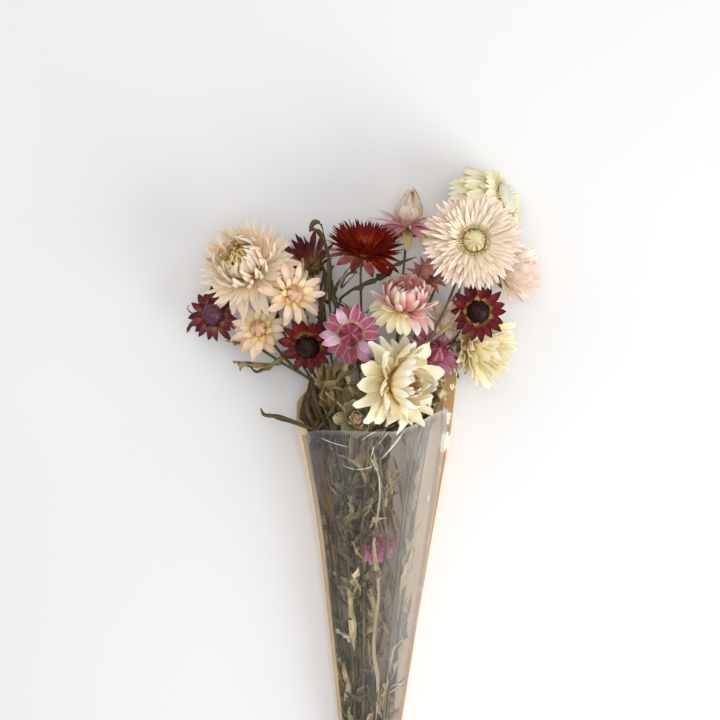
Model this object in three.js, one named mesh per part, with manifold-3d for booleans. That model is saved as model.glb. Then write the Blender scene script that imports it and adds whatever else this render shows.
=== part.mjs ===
// A bunch of dried strawflowers in a cone sleeve with a paper back and a clear film front.
// Millimetres, +Z up. The bunch lies on its paper back: the stems run along +Y from their cut
// ends to the flowers. The origin is on the table, under the middle of the sleeve's mouth.

import * as THREE from "three";
import Module from "manifold-3d";

const wasm = await Module();
wasm.setup();

// ---------------------------------------------------------------- driving dimensions

const sleeve = {
  endY: -215, // the narrow end, round the stems
  mouthHalfWidth: 36.5,
  endHalfWidth: 10,
  mouthHeight: 42,
  endHeight: 15.5,
  seamHeight: 0.4, // share of the sleeve's height
  flatShare: 0.5, // flat strip underneath, as a share of the half width
  paperSeam: [2, 7], // width of the flat seam down each side, at the end and at the mouth
  filmSeam: [1.4, 2.2],
  paper: 0.7,
  film: 0.6,
  sheetGap: 0.3, // between the paper and the film in the seam
  paperTop: [20, 41], // how far the paper stands past the mouth, at its left and right side
  paperCorner: 0.16, // share of the width over which its left corner is cut down
  paperCornerDrop: 7,
  filmTop: 13,
  filmWave: 2.5,
  filmCorner: 0.22,
  filmCornerDrop: 9,
  stations: 3,
  topStart: -14, // from here the top edges are cut
};

const stemShape = {
  endRadius: 1.3,
  neckRadius: 0.85,
  sides: 5,
  slotPitch: 3.25, // between stems where the sleeve holds them tight
  slotRows: [4, 5, 4, 3],
  slotRise: 2.83, // between the rows
  slotFloor: 2.45,
  cutPast: 14, // how far the stems stand out of the sleeve's end
  cutSpread: 11,
  cutSplay: 1.06, // their spread at the cut ends, against that at the sleeve's end
  mouthY: -16, // near the mouth they pass at this share of their heads' spread
  mouthShare: 0.36,
  mouthHeights: [5, 33], // of the lowest and the highest stem there
  highHead: 58,
  lead: 0.5, // of a head's radius, that its stem runs straight on under it
  step: 4, // between the points of a stem's path
  clearance: 2.2, // that stems keep from each other where there is room
  headGap: 0.3, // between a stem's top and its head
  wall: 2.9, // between a stem's middle line and the sleeve
  stray: 0.5, // of a tube from its stem's path
  rounds: 70,
};

// Room that blades keep, from all that stands, from the table, and from others of their own head
// or stem. There the part of a blade nearest to its root is left out.
const clearances = {
  bract: 0.35,
  leaf: 0.5,
  table: 0.1,
  own: 0.1,
  leafRootShare: 0.2,
  seatInset: 0.06,
  seatLift: 0.04,
  edge: 1e-3,
};

const forkFree = 7; // points of a branch that may lie against its parent
const forkGirth = 0.6; // how far a branch is tapered at its root, as if along its parent
const heldAtRoot = 4; // points of a path that the combing leaves where they are
const heldAtTop = 2;
const headRoom = 0.66; // a stem keeps out of this share of another head's radius
const headRoomRise = 0.25; // and that room's middle lies this share of it above the bracts' roots
const cupDepth = 0.3; // of the cup under a head, as a share of its radius
const leafRoot = 0.7; // length of a leaf's root along the stem, in steps of the path

// A head has `count` bracts in each layer, and they grow out of a ball-like core. The layers go
// from the inside out, and each is [tilt at the root, tilt at the tip, length, width]. Tilts are
// degrees from the way the head faces, and lengths are shares of the head's radius. The middle
// has rings of points, as [radius, height], and short bracts on some of the bands between them.
const kinds = {
  open: {
    count: 14,
    core: { radius: 0.3, height: 0.1, top: 42 },
    layers: [
      [44, 58, 0.42, 0.18],
      [60, 76, 0.58, 0.22],
      [76, 90, 0.7, 0.26],
      [94, 108, 0.68, 0.28],
    ],
    middle: { count: 8, rings: [[0.09, 0.1], [0.21, 0.19], [0.23, 0.12], [0.13, 0.09]] },
    teeth: [null, [24, -24, 0.2, 0.14], null],
  },
  double: {
    count: 12,
    core: { radius: 0.3, height: 0.2, top: 34 },
    layers: [
      [26, -34, 0.66, 0.22],
      [46, -8, 0.8, 0.24],
      [64, 26, 0.84, 0.27],
      [82, 62, 0.84, 0.3],
      [102, 126, 0.8, 0.34],
    ],
    middle: { count: 6, rings: [[0.07, 0.34], [0.13, 0.28], [0.1, 0.18]] },
    teeth: [null, [14, -20, 0.24, 0.12]],
  },
  half: {
    count: 9,
    core: { radius: 0.29, height: 0.13, top: 42 },
    layers: [
      [54, 52, 0.56, 0.3],
      [70, 76, 0.74, 0.36],
      [90, 98, 0.7, 0.38],
    ],
    middle: { count: 6, rings: [[0.05, 0.6], [0.2, 0.5], [0.28, 0.28], [0.15, 0.13]] },
    teeth: [null, [12, -50, 0.28, 0.2], [30, -36, 0.46, 0.28]],
  },
  cup: {
    count: 8,
    core: { radius: 0.3, height: 0.18, top: 36 },
    layers: [
      [34, -26, 0.68, 0.34],
      [52, 4, 0.8, 0.42],
      [72, 54, 0.86, 0.44],
      [94, 106, 0.82, 0.46],
    ],
    middle: { count: 6, rings: [[0.06, 0.34], [0.13, 0.28], [0.12, 0.15]] },
    teeth: [null, [12, -4, 0.34, 0.12]],
  },
  globe: {
    count: 9,
    core: { radius: 0.3, height: 0.16, top: 36 },
    layers: [
      [34, -16, 0.8, 0.3],
      [54, -4, 0.92, 0.36],
      [76, 46, 0.86, 0.38],
      [100, 126, 0.72, 0.42],
    ],
    middle: { count: 5, rings: [[0.05, 0.46], [0.13, 0.34], [0.1, 0.15]] },
    teeth: [null, [16, -24, 0.4, 0.16]],
  },
  fan: {
    count: 9,
    core: { radius: 0.27, height: 0.18, top: 34 },
    layers: [
      [24, 8, 0.96, 0.26],
      [42, 28, 1.04, 0.28],
      [62, 48, 0.96, 0.3],
      [86, 76, 0.6, 0.32],
    ],
    middle: { count: 5, rings: [[0.05, 0.36], [0.1, 0.28], [0.08, 0.15]] },
    teeth: [null, [12, -8, 0.36, 0.1]],
  },
  flat: {
    count: 13,
    core: { radius: 0.32, height: 0.14, top: 38 },
    layers: [
      [32, 20, 0.5, 0.18],
      [52, 42, 0.66, 0.22],
      [72, 60, 0.76, 0.24],
      [108, 92, 0.66, 0.34],
    ],
    middle: { count: 7, rings: [[0.08, 0.14], [0.15, 0.18], [0.11, 0.11]] },
    teeth: [null, [18, -20, 0.22, 0.1]],
  },
  spray: {
    count: 8,
    core: { radius: 0.26, height: 0.14, top: 40 },
    layers: [
      [22, -4, 1.1, 0.34],
      [76, 84, 0.98, 0.16],
      [96, 108, 0.74, 0.3],
      [122, 158, 0.74, 0.3],
    ],
    middle: { count: 5, rings: [[0.05, 0.5], [0.13, 0.3], [0.09, 0.13]] },
    teeth: [null, [10, -10, 0.4, 0.14]],
  },
  swept: {
    count: 10,
    core: { radius: 0.44, height: 0.2, top: 62 },
    layers: [
      [84, 120, 0.8, 0.24],
      [104, 150, 1.1, 0.3],
      [124, 166, 1.32, 0.32],
    ],
    middle: { count: 10, rings: [[0.14, 0.3], [0.32, 0.24], [0.4, 0.12], [0.34, 0.08]] },
    teeth: [null, null, [50, 62, 0.16, 0.1]],
  },
  bud: {
    count: 8,
    core: { radius: 0.36, height: 0.22, top: 38 },
    layers: [
      [24, -6, 0.8, 0.34],
      [50, 30, 0.8, 0.44],
    ],
    middle: { count: 6, rings: [[0.1, 0.52], [0.2, 0.4], [0.17, 0.18]] },
    teeth: [[4, 0, 0.36, 0.14], [14, -2, 0.4, 0.2]],
  },
};

// Every head: where its bracts spring from, the way it faces and its radius. The first ones
// placed keep their form, and those after them are bent clear of them.
const head = (name, kind, at, facing, radius, petals, centre) => {
  return { name, kind, at, facing, radius, petals, centre };
};
const colours = {
  blush: 0xeccfb4,
  cream: 0xeadfae,
  straw: 0xd9cd9a,
  rose: 0xb9688a,
  roseDark: 0x93304f,
  pink: 0xdcaaa4,
  rust: 0x7d2016,
  wine: 0x5f1a22,
  plum: 0x3a141b,
  dry: 0x8a7a55,
  stem: 0x5d5838,
  paper: 0xb58a5c,
  film: 0xc9ccd2,
};
const { blush, cream, straw, rose, roseDark, pink, rust, wine, plum, dry } = colours;
const heads = [
  head("pale_open", "open", [48, 103.5, 58], [0.1, 0.02, 0.99], 26, blush, straw),
  head("rose_star", "half", [-16, 52, 54], [0.02, 0.04, 1], 17, rose, roseDark),
  head("wine_star", "half", [52, 66, 48], [0.04, 0.04, 1], 15.5, wine, plum),
  head("cream_cup", "cup", [8, 27, 54], [0.72, -0.04, 0.6], 25, cream, straw),
  head("peach_double", "double", [-73, 86.5, 34], [-0.36, 0.42, 0.78], 25, blush, straw),
  head("peach_right", "half", [-48, 73, 46], [0.5, 0.16, 0.82], 17.5, blush, pink),
  head("peach_left", "half", [-66, 54, 30], [-0.3, 0.24, 0.9], 16.5, blush, pink),
  head("plum_low", "half", [-39, 46.5, 42], [-0.06, -0.42, 0.9], 16, wine, plum),
  head("pink_globe", "globe", [12, 68, 42], [0.1, 0.72, 0.62], 18.5, pink, pink),
  head("rust_flat", "flat", [-10, 98, 36], [0.14, 0.8, 0.5], 23, rust, straw),
  head("plum_left", "half", [-92, 62, 20], [-0.28, 0.08, 0.94], 15.5, wine, plum),
  head("pink_side", "half", [27, 86, 28], [-0.45, 0.5, 0.7], 14.5, wine, roseDark),
  head("cream_fan", "fan", [50, 49, 20], [0.84, -0.14, 0.4], 21, cream, straw),
  head("rose_back", "half", [29, 43, 27], [0.3, 0.3, 0.86], 16, rose, roseDark),
  head("blush_small", "half", [37, 61, 22], [-0.1, 0.4, 0.88], 13, blush, pink),
  head("blush_right", "fan", [69, 88.5, 15.5], [0.86, 0.16, 0.4], 17, blush, straw),
  head("cream_top", "swept", [66, 129.5, 20.5], [0.84, 0.34, 0.42], 20.5, cream, straw),
  head("pink_top", "spray", [14, 114, 16.5], [0.04, 0.94, 0.26], 19, pink, rose),
  head("wine_top", "fan", [-40, 90, 15], [-0.34, 0.84, 0.4], 16.5, wine, rust),
  head("dry_bud", "bud", [-12, 6, 30], [0, 0.1, 1], 12, dry, blush),
  head("rose_inside", "half", [0, -64, 22], [0.05, 0.3, 0.94], 11.5, rose, roseDark),
];

// Each stem carries one head at its top, and side branches leave it at a share of its length.
const stems = [
  { head: "pale_open", leaves: 9 },
  { head: "rose_star", leaves: 9 },
  { head: "wine_star", leaves: 7 },
  { head: "cream_cup", leaves: 8, branches: [{ head: "rose_back", at: 0.84 }] },
  { head: "peach_double", leaves: 7 },
  { head: "peach_right", leaves: 8 },
  { head: "plum_left", leaves: 7, branches: [{ head: "peach_left", at: 0.86 }] },
  { head: "plum_low", leaves: 10 },
  { head: "pink_globe", leaves: 7, branches: [{ head: "pink_side", at: 0.86 }] },
  { head: "rust_flat", leaves: 8 },
  { head: "cream_fan", leaves: 7, branches: [{ head: "blush_small", at: 0.86 }] },
  { head: "blush_right", leaves: 6 },
  { head: "cream_top", leaves: 6 },
  { head: "pink_top", leaves: 7 },
  { head: "wine_top", leaves: 7 },
  { head: "dry_bud", leaves: 10 },
];

// The pink head that is caught inside the sleeve sits on a side branch of this stem.
const caughtBranch = { head: "rose_inside", stem: "dry_bud", at: 0.55 };

// Dried leaves that stand out by themselves: the stem they grow on, the place along it that
// they leave it near, where they point, and how they bend, curl at the tip and twist.
const leafRow = (stem, near, toward, length, width, bend, curl, twist) => {
  return { stem, near, toward, length, width, bend, curl, twist };
};
const singleLeaves = [
  leafRow("plum_left", [-54, 29, 13], [-0.96, 0.04, 0.3], 30, 6, -30, 80, 80),
  leafRow("plum_left", [-90, 58, 12], [-0.95, -0.24, 0.1], 19, 3.6, 20, 80, 60),
  leafRow("peach_double", [-28, 2, 20], [-0.94, 0.2, 0.3], 34, 4.6, -34, 60, 80),
  leafRow("peach_right", [-33, 46, 32], [-0.02, 0.97, 0.24], 74, 4.6, -30, 240, 20),
  leafRow("rust_flat", [-20, 60, 24], [0.84, 0.44, 0.3], 38, 5.6, -44, -20, 70),
  leafRow("plum_low", [-28, 22, 26], [-0.3, 0.9, 0.3], 30, 7.4, 20, 60, 80),
  leafRow("dry_bud", [-10, -14, 22], [-0.8, 0.6, -0.1], 26, 7, 30, 30, 80),
  leafRow("rose_star", [-12, 14, 30], [-0.2, 0.95, 0.1], 32, 7.6, -20, 60, 80),
  leafRow("wine_top", [-26, 24, 12], [-0.5, 0.8, 0.3], 30, 7, 20, 60, 60),
  leafRow("peach_right", [-22, 10, 22], [-0.1, 0.95, 0.3], 34, 7.8, 20, -50, 80),
  leafRow("rust_flat", [-10, 20, 20], [0.3, 0.9, 0.3], 34, 7.4, 20, 60, 80),
  leafRow("cream_fan", [45, 38, 14], [0.3, -0.92, 0.1], 14, 3.4, 10, 60, 60),
  leafRow("wine_star", [40, 54, 30], [-0.7, 0.6, 0.3], 20, 4.4, 20, 60, 60),
];

// ---------------------------------------------------------------- small helpers

const degrees = Math.PI / 180;
const v3 = (x, y, z) => new THREE.Vector3(x, y, z);
const mix = (a, b, share) => a + (b - a) * share;
const tableUp = v3(0, 0, 1);

// Seeded draws from 0 to 1.
function dice(seed) {
  let state = seed;
  return () => {
    state = (state * 1664525 + 1013904223) % 4294967296;
    return state / 4294967296;
  };
}

const around = (roll, spread) => (roll() * 2 - 1) * spread;

// Direction a turned towards direction b, at a right angle to it, by an angle.
function turned(a, b, angle) {
  return a.clone().multiplyScalar(Math.cos(angle)).addScaledVector(b, Math.sin(angle));
}

// ---------------------------------------------------------------- solids

function solidFrom(positions, triangles) {
  const make = (triVerts) => {
    const mesh = new wasm.Mesh({ numProp: 3, vertProperties: positions, triVerts });
    return new wasm.Manifold(mesh);
  };
  const solid = make(triangles);
  return solid.volume() < 0 ? make(triangles.slice().reverse()) : solid;
}

// A closed solid over rings of equal size. A ring of one point closes an end to a tip, and
// the two halves of a ring are split alike, so that a thin twisted blade never crosses itself.
function skin(rings) {
  const triangles = [];
  const starts = [];
  let count = 0;
  for (const ring of rings) {
    starts.push(count);
    count += ring.length;
  }
  for (let k = 1; k < rings.length; k++) {
    const sides = Math.max(rings[k - 1].length, rings[k].length);
    const near = (i) => starts[k - 1] + (rings[k - 1].length > 1 ? i % sides : 0);
    const far = (i) => starts[k] + (rings[k].length > 1 ? i % sides : 0);
    for (let i = 0; i < sides; i++) {
      const flipped = i >= sides / 2;
      if (rings[k - 1].length > 1) triangles.push(near(i), near(i + 1), far(flipped ? i : i + 1));
      if (rings[k].length > 1) triangles.push(near(flipped ? i + 1 : i), far(i + 1), far(i));
    }
  }
  const cap = (start, size, turn) => {
    for (let i = 0; i < size / 2 - 1; i++) {
      const [a, b, c, d] = [i, i + 1, size - 2 - i, size - 1 - i].map((n) => n + start);
      triangles.push(...(turn ? [a, d, b] : [a, b, d]));
      if (b !== c) triangles.push(...(turn ? [b, d, c] : [b, c, d]));
    }
  };
  if (rings[0].length > 1) cap(starts[0], rings[0].length, true);
  const last = rings.length - 1;
  if (rings[last].length > 1) cap(starts[last], rings[last].length, false);
  const positions = new Float32Array(rings.flat().flatMap((p) => p.toArray()));
  return solidFrom(positions, new Uint32Array(triangles));
}

const united = (solids) => wasm.Manifold.union(solids);

function geometryOf(solid) {
  const mesh = solid.getMesh();
  const positions = new THREE.BufferAttribute(new Float32Array(mesh.vertProperties), 3);
  const geometry = new THREE.BufferGeometry().setAttribute("position", positions);
  geometry.setIndex(new THREE.BufferAttribute(new Uint32Array(mesh.triVerts), 1));
  const faceted = geometry.toNonIndexed();
  faceted.computeVertexNormals();
  return faceted;
}

// ---------------------------------------------------------------- blades

// A curled blade: it leaves its root along `along`, bends towards `up` by `bend` in all, a share
// of it towards the tip, and twists about its own line. It is flat above and has a keel below.
function bladeRings(blade, extra = 0) {
  const { root, along, up, length, width, bend, thickness, stations } = blade;
  const { curl = 0, twist = 0 } = blade;
  const side = along.clone().cross(up);
  const point = root.clone();
  const rings = [];
  const steps = 4; // between two stations, to follow the curl
  let last = 0;
  for (const share of stations) {
    for (let n = 1; n <= steps; n++) {
      const middle = mix(last, share, (n - 0.5) / steps);
      const angle = bend * middle + curl * middle ** 3;
      point.addScaledVector(turned(along, up, angle), ((share - last) * length) / steps);
    }
    last = share;
    if (share >= 1) {
      rings.push([point.clone()]);
      continue;
    }
    const angle = bend * share + curl * share ** 3;
    const rise = turned(up, along, -angle);
    const across = turned(side, rise, twist * share);
    const normal = turned(rise, side, -twist * share);
    const half = Math.min((width / 2) * bladeWidth(share), blade.widest?.(point) ?? width) + extra;
    const deep = (thickness / 2) * (1 - 0.25 * share) + extra;
    const at = (x, y) => point.clone().addScaledVector(across, x).addScaledVector(normal, y);
    rings.push([at(-half, deep), at(half, deep), at(0, -deep)]);
  }
  return rings;
}

// How wide a blade is along its length, as a share of its full width.
function bladeWidth(share) {
  return 0.34 + 0.66 * Math.sin(Math.min(1, share / 0.5) * 90 * degrees);
}

// ---------------------------------------------------------------- what stands where

const standing = []; // solids in the bunch's own frame that later blades keep clear of

const entryOf = (solid) => ({ solid, box: solid.boundingBox() });

function stand(solid) {
  const entry = entryOf(solid);
  standing.push(entry);
  return entry;
}

const apart = (a, b) => [0, 1, 2].some((n) => a.max[n] < b.min[n] || b.max[n] < a.min[n]);
const aboveTable = (solid) => solid.boundingBox().min[2] >= clearances.table;

function freeOf(solid, others) {
  const box = solid.boundingBox();
  return others.every((other) => apart(box, other.box) || solid.intersect(other.solid).isEmpty());
}

// ---------------------------------------------------------------- sleeve

// The sleeve's half width, height and seam at a place along it.
function sleeveAt(y) {
  const share = (y - sleeve.endY) / -sleeve.endY;
  const height = mix(sleeve.endHeight, sleeve.mouthHeight, share);
  return {
    half: mix(sleeve.endHalfWidth, sleeve.mouthHalfWidth, share),
    height,
    seam: height * sleeve.seamHeight,
    paperSeam: mix(...sleeve.paperSeam, share),
    filmSeam: mix(...sleeve.filmSeam, share),
  };
}

const cornerAngles = [0, 32, 62];
const archAngles = [0, 24, 48, 70];

// The paper's outer line across the sleeve, from its left seam to its right one.
function paperLine(y) {
  const { half, seam, paperSeam } = sleeveAt(y);
  const flat = half * sleeve.flatShare;
  const right = cornerAngles.map((angle) => [
    flat + (half - flat) * Math.cos(angle * degrees),
    seam * (1 - Math.sin(angle * degrees)),
  ]);
  right.unshift([half + paperSeam, seam]);
  right.push([flat, 0]);
  const left = right.map(([x, z]) => [-x, z]);
  return [...left, [0, 0], ...right.reverse()];
}

// The film's inner line, over the contents, from its left seam to its right one.
function filmLine(y) {
  const { half, seam, filmSeam, height } = sleeveAt(y);
  const foot = seam + sleeve.paper + sleeve.sheetGap;
  const crown = height - sleeve.film;
  const right = archAngles.map((angle) => [
    half * Math.cos(angle * degrees),
    foot + (crown - foot) * Math.sin(angle * degrees) ** 0.8,
  ]);
  right.unshift([half + filmSeam, foot]);
  const left = right.map(([x, z]) => [-x, z]);
  return [...left, [0, crown], ...right.reverse()];
}

// A line across the sleeve moved square to itself by a thickness.
function movedLine(line, thickness) {
  return line.map(([x, z], i) => {
    const [x0, z0] = line[Math.max(0, i - 1)];
    const [x1, z1] = line[Math.min(line.length - 1, i + 1)];
    const length = Math.hypot(x1 - x0, z1 - z0);
    return [x - ((z1 - z0) / length) * thickness, z + ((x1 - x0) / length) * thickness];
  });
}

// A sheet that follows `line` from the sleeve's end to its own top edge. Past the mouth its
// sides run straight on.
function sheetSolid(line, thickness, topEdge) {
  const rings = [];
  const pointsAt = (y) => {
    const under = line(Math.min(0, y));
    return [under, movedLine(under, thickness)];
  };
  const size = line(0).length;
  for (let k = 0; k <= sleeve.stations; k++) {
    const level = mix(sleeve.endY, sleeve.topStart, k / sleeve.stations);
    const placed = pointsAt(level).map((row) => row.map(([x, z]) => v3(x, level, z)));
    rings.push([...placed[0], ...placed[1].reverse()]);
  }
  const edge = [[], []];
  for (let i = 0; i < size; i++) {
    const y = topEdge(i / (size - 1));
    pointsAt(y).forEach((row, n) => edge[n].push(v3(row[i][0], y, row[i][1])));
  }
  rings.push([...edge[0], ...edge[1].reverse()]);
  return skin(rings);
}

// The top edges, by the share of the way from the left seam to the right one.
function paperTop(share) {
  const corner = Math.max(0, 1 - share / sleeve.paperCorner);
  return mix(...sleeve.paperTop, share) - sleeve.paperCornerDrop * corner ** 2;
}

function filmTop(share) {
  const corner = Math.max(0, 1 - share / sleeve.filmCorner);
  const rise = sleeve.filmTop * share ** 2 + sleeve.filmWave * Math.sin(share * 5);
  return rise - sleeve.filmCornerDrop * corner ** 2;
}

// ---------------------------------------------------------------- stems

const headNamed = new Map(heads.map((row) => [row.name, row]));
const pointOf = ([x, y, z]) => v3(x, y, z);
const facingOf = (row) => pointOf(row.facing).normalize();

// Where a stem's top meets the underside of a head.
function neckOf(row) {
  const depth = row.radius * cupDepth + stemShape.headGap;
  return pointOf(row.at).addScaledVector(facingOf(row), -depth);
}

// The place that a stem makes for before it turns to its head.
function leadOf(row) {
  return neckOf(row).addScaledVector(facingOf(row), -row.radius * stemShape.lead);
}

// The stems sit in rows in the sleeve's end: the low heads' stems below, and each row from
// left to right, as their heads are.
function slots() {
  const byHeight = [...stems].sort((a, b) => headNamed.get(a.head).at[2] - headNamed.get(b.head).at[2]);
  const found = new Map();
  let from = 0;
  stemShape.slotRows.forEach((size, row) => {
    const members = byHeight.slice(from, from + size);
    members.sort((a, b) => headNamed.get(a.head).at[0] - headNamed.get(b.head).at[0]);
    members.forEach((stem, n) => {
      const x = (n - (size - 1) / 2) * stemShape.slotPitch;
      const z = stemShape.slotFloor + row * stemShape.slotRise;
      found.set(stem.head, v3(x, sleeve.endY, z));
    });
    from += size;
  });
  return found;
}

// Points a step apart along straight lines through a few control points.
function evenPoints(controls) {
  const lengths = controls.slice(1).map((p, i) => p.distanceTo(controls[i]));
  const total = lengths.reduce((sum, length) => sum + length, 0);
  const count = Math.round(total / stemShape.step);
  const points = [];
  for (let n = 0; n <= count; n++) {
    let left = (total * n) / count;
    let i = 0;
    while (i < lengths.length - 1 && left > lengths[i]) {
      left -= lengths[i];
      i += 1;
    }
    points.push(controls[i].clone().lerp(controls[i + 1], Math.min(1, left / lengths[i])));
  }
  return points;
}

// The first run of every stem: from its cut end, through the sleeve, to its head.
function roughPaths() {
  const roll = dice(11);
  const slotOf = slots();
  const paths = stems.map((stem) => {
    const row = headNamed.get(stem.head);
    const slot = slotOf.get(stem.head);
    const cutY = sleeve.endY - stemShape.cutPast - roll() * stemShape.cutSpread;
    const cut = v3(slot.x * stemShape.cutSplay, cutY, slot.z);
    const rise = Math.min(1, row.at[2] / stemShape.highHead);
    const mouthZ = mix(...stemShape.mouthHeights, rise);
    const mouth = v3(row.at[0] * stemShape.mouthShare, stemShape.mouthY, mouthZ);
    return { name: stem.head, points: evenPoints([cut, slot, mouth, leadOf(row), neckOf(row)]) };
  });
  const fork = (parentName, at, name) => {
    const parent = paths.find((path) => path.name === parentName);
    const index = Math.round(at * (parent.points.length - 1));
    const row = headNamed.get(name);
    const points = evenPoints([parent.points[index].clone(), leadOf(row), neckOf(row)]);
    paths.push({ name, points, parent, index });
  };
  for (const stem of stems) {
    for (const branch of stem.branches ?? []) fork(stem.head, branch.at, branch.head);
  }
  fork(caughtBranch.stem, caughtBranch.at, caughtBranch.head);
  return paths;
}

// The stems are combed apart: each round smooths them, then moves apart those that lie too
// close, keeps them off the heads and holds them in the sleeve and over the table.
function combedPaths() {
  const paths = roughPaths();
  for (let round = 0; round < stemShape.rounds; round++) {
    for (const path of paths) {
      if (path.parent) path.points[0].copy(path.parent.points[path.index]);
      path.points = smoothed(path);
    }
    const moves = paths.map((path) => path.points.map(() => v3(0, 0, 0)));
    paths.forEach((a, m) => {
      paths.slice(m + 1).forEach((b, k) => {
        pushApart(a, b, moves[m], moves[m + 1 + k]);
      });
      for (const row of heads) pushOffHead(a, row, moves[m]);
    });
    paths.forEach((path, m) => {
      path.points.forEach((point, i) => {
        if (isHeld(path, i)) return;
        point.add(moves[m][i]);
        keepInside(point);
      });
    });
  }
  for (const path of paths) path.frames = framesOf(path);
  return paths;
}

// At each point of a path, its direction and two directions across it, carried along with no
// twist. The last point takes its direction from the head.
function framesOf({ name, points }) {
  let side = tableUp.clone().cross(tangentAt(points, 0));
  return points.map((unused, i) => {
    const isTop = i === points.length - 1;
    const tangent = isTop ? facingOf(headNamed.get(name)) : tangentAt(points, i);
    side = side.clone().addScaledVector(tangent, -side.dot(tangent)).normalize();
    return { tangent, side, rise: tangent.clone().cross(side) };
  });
}

function isHeld(path, i) {
  const root = path.parent ? 1 : heldAtRoot;
  return i < root || i >= path.points.length - heldAtTop;
}

function smoothed(path) {
  return path.points.map((point, i) => {
    if (isHeld(path, i)) return point.clone();
    const middle = path.points[i - 1].clone().add(path.points[i + 1]).multiplyScalar(0.5);
    return point.clone().lerp(middle, 0.5);
  });
}

function pushApart(a, b, movesA, movesB) {
  const related = b.parent === a || a.parent === b;
  const need = 2 * stemShape.endRadius + stemShape.clearance;
  a.points.forEach((p, i) => {
    if (related && a.parent && i < forkFree) return;
    b.points.forEach((q, j) => {
      if (related && b.parent && j < forkFree) return;
      if (Math.abs(p.y - q.y) > need) return;
      const between = p.clone().sub(q);
      const distance = between.length();
      if (distance >= need || distance < 1e-6) return;
      between.multiplyScalar(((need - distance) / distance) * 0.3);
      movesA[i].add(between);
      movesB[j].sub(between);
    });
  });
}

function pushOffHead(path, row, moves) {
  if (row.name === path.name) return;
  const middle = pointOf(row.at).addScaledVector(facingOf(row), row.radius * headRoomRise);
  const need = row.radius * headRoom + stemShape.endRadius;
  path.points.forEach((p, i) => {
    const between = p.clone().sub(middle);
    const distance = between.length();
    if (distance >= need) return;
    moves[i].addScaledVector(between, ((need - distance) / distance) * 0.5);
  });
}

// Up to the paper's top edge a point of a stem is drawn back into the sleeve's rounded section.
function keepInside(point) {
  const { half, height } = sleeveAt(Math.min(0, point.y));
  const edge = paperTop(Math.min(1, Math.max(sleeve.paperCorner, 0.5 + point.x / half / 2)));
  if (point.y < edge + stemShape.wall && point.y > sleeve.endY) {
    const x = point.x / (half - stemShape.wall);
    const z = (point.z - height / 2) / (height / 2 - stemShape.wall);
    const out = (Math.abs(x) ** 3 + Math.abs(z) ** 3) ** (1 / 3);
    if (out > 1) {
      point.x /= out;
      point.z = height / 2 + (point.z - height / 2) / out;
    }
  }
  point.z = Math.max(point.z, sleeve.paper + stemShape.endRadius + 0.4);
}

// The points of a path where a tube needs a ring, so that it strays little from the path.
function keyPoints(points, first = 0, last = points.length - 1) {
  const chord = new THREE.Line3(points[first], points[last]);
  let furthest = first;
  let most = 0;
  for (let i = first + 1; i < last; i++) {
    const nearest = chord.closestPointToPoint(points[i], true, v3(0, 0, 0));
    const stray = nearest.distanceTo(points[i]);
    if (stray > most) [most, furthest] = [stray, i];
  }
  if (most < stemShape.stray) return [first, last];
  return [...keyPoints(points, first, furthest), ...keyPoints(points, furthest, last).slice(1)];
}

const stemRadius = (share) => mix(stemShape.endRadius, stemShape.neckRadius, share);

function tangentAt(points, i) {
  const next = points[Math.min(points.length - 1, i + 1)];
  return next.clone().sub(points[Math.max(0, i - 1)]).normalize();
}

// The ring of points round a path at a place along it, given in steps from its cut end.
function stemRing(path, at) {
  const { points } = path;
  const last = points.length - 1;
  const step = Math.min(last - 1, Math.floor(at));
  const middle = points[step].clone().lerp(points[step + 1], at - step);
  const { side, rise } = path.frames[Math.round(at)];
  const radius = stemRadius(path.parent ? mix(forkGirth, 1, at / last) : at / last);
  const ring = [];
  for (let n = 0; n < stemShape.sides; n++) {
    const spoke = turned(side, rise, (n / stemShape.sides) * 360 * degrees);
    ring.push(middle.clone().addScaledVector(spoke, radius));
  }
  return ring;
}

// The rings of a stem, with its leaves as blades to be drawn out of its sides. Each leaf has its
// place along the stem and its side.
function stemPlan(path, leaves = []) {
  const places = leaves.flatMap(({ at }) => [at, at + leafRoot]);
  for (const at of keyPoints(path.points)) {
    const isEnd = at === 0 || at === path.points.length - 1;
    if (isEnd || places.every((place) => Math.abs(place - at) > 0.5)) places.push(at);
  }
  places.sort((a, b) => b - a);
  const blades = new Map();
  for (const { at, side, blade } of leaves) {
    blades.set(`${places.indexOf(at + leafRoot)},${side}`, bladeRings(blade).slice(1));
  }
  return { rings: places.map((at) => stemRing(path, at)), blades };
}

const stemSolid = ({ rings, blades }) => spikedBody(rings, blades);

// ---------------------------------------------------------------- heads

// A head is made with its bracts springing from the origin and facing +Z.
function headPlace(row) {
  const turn = new THREE.Quaternion().setFromUnitVectors(tableUp, facingOf(row));
  return new THREE.Matrix4().compose(pointOf(row.at), turn, v3(1, 1, 1));
}

// Rings of points about Z, each turned by half a step from the one above it.
function ringsOfPoints(profile, count) {
  return profile.map(([radius, height], k) => {
    const ring = [];
    for (let i = 0; i < count; i++) {
      const spin = ((i + k / 2) / count) * 360 * degrees;
      ring.push(v3(radius * Math.cos(spin), radius * Math.sin(spin), height));
    }
    return ring;
  });
}

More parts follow.
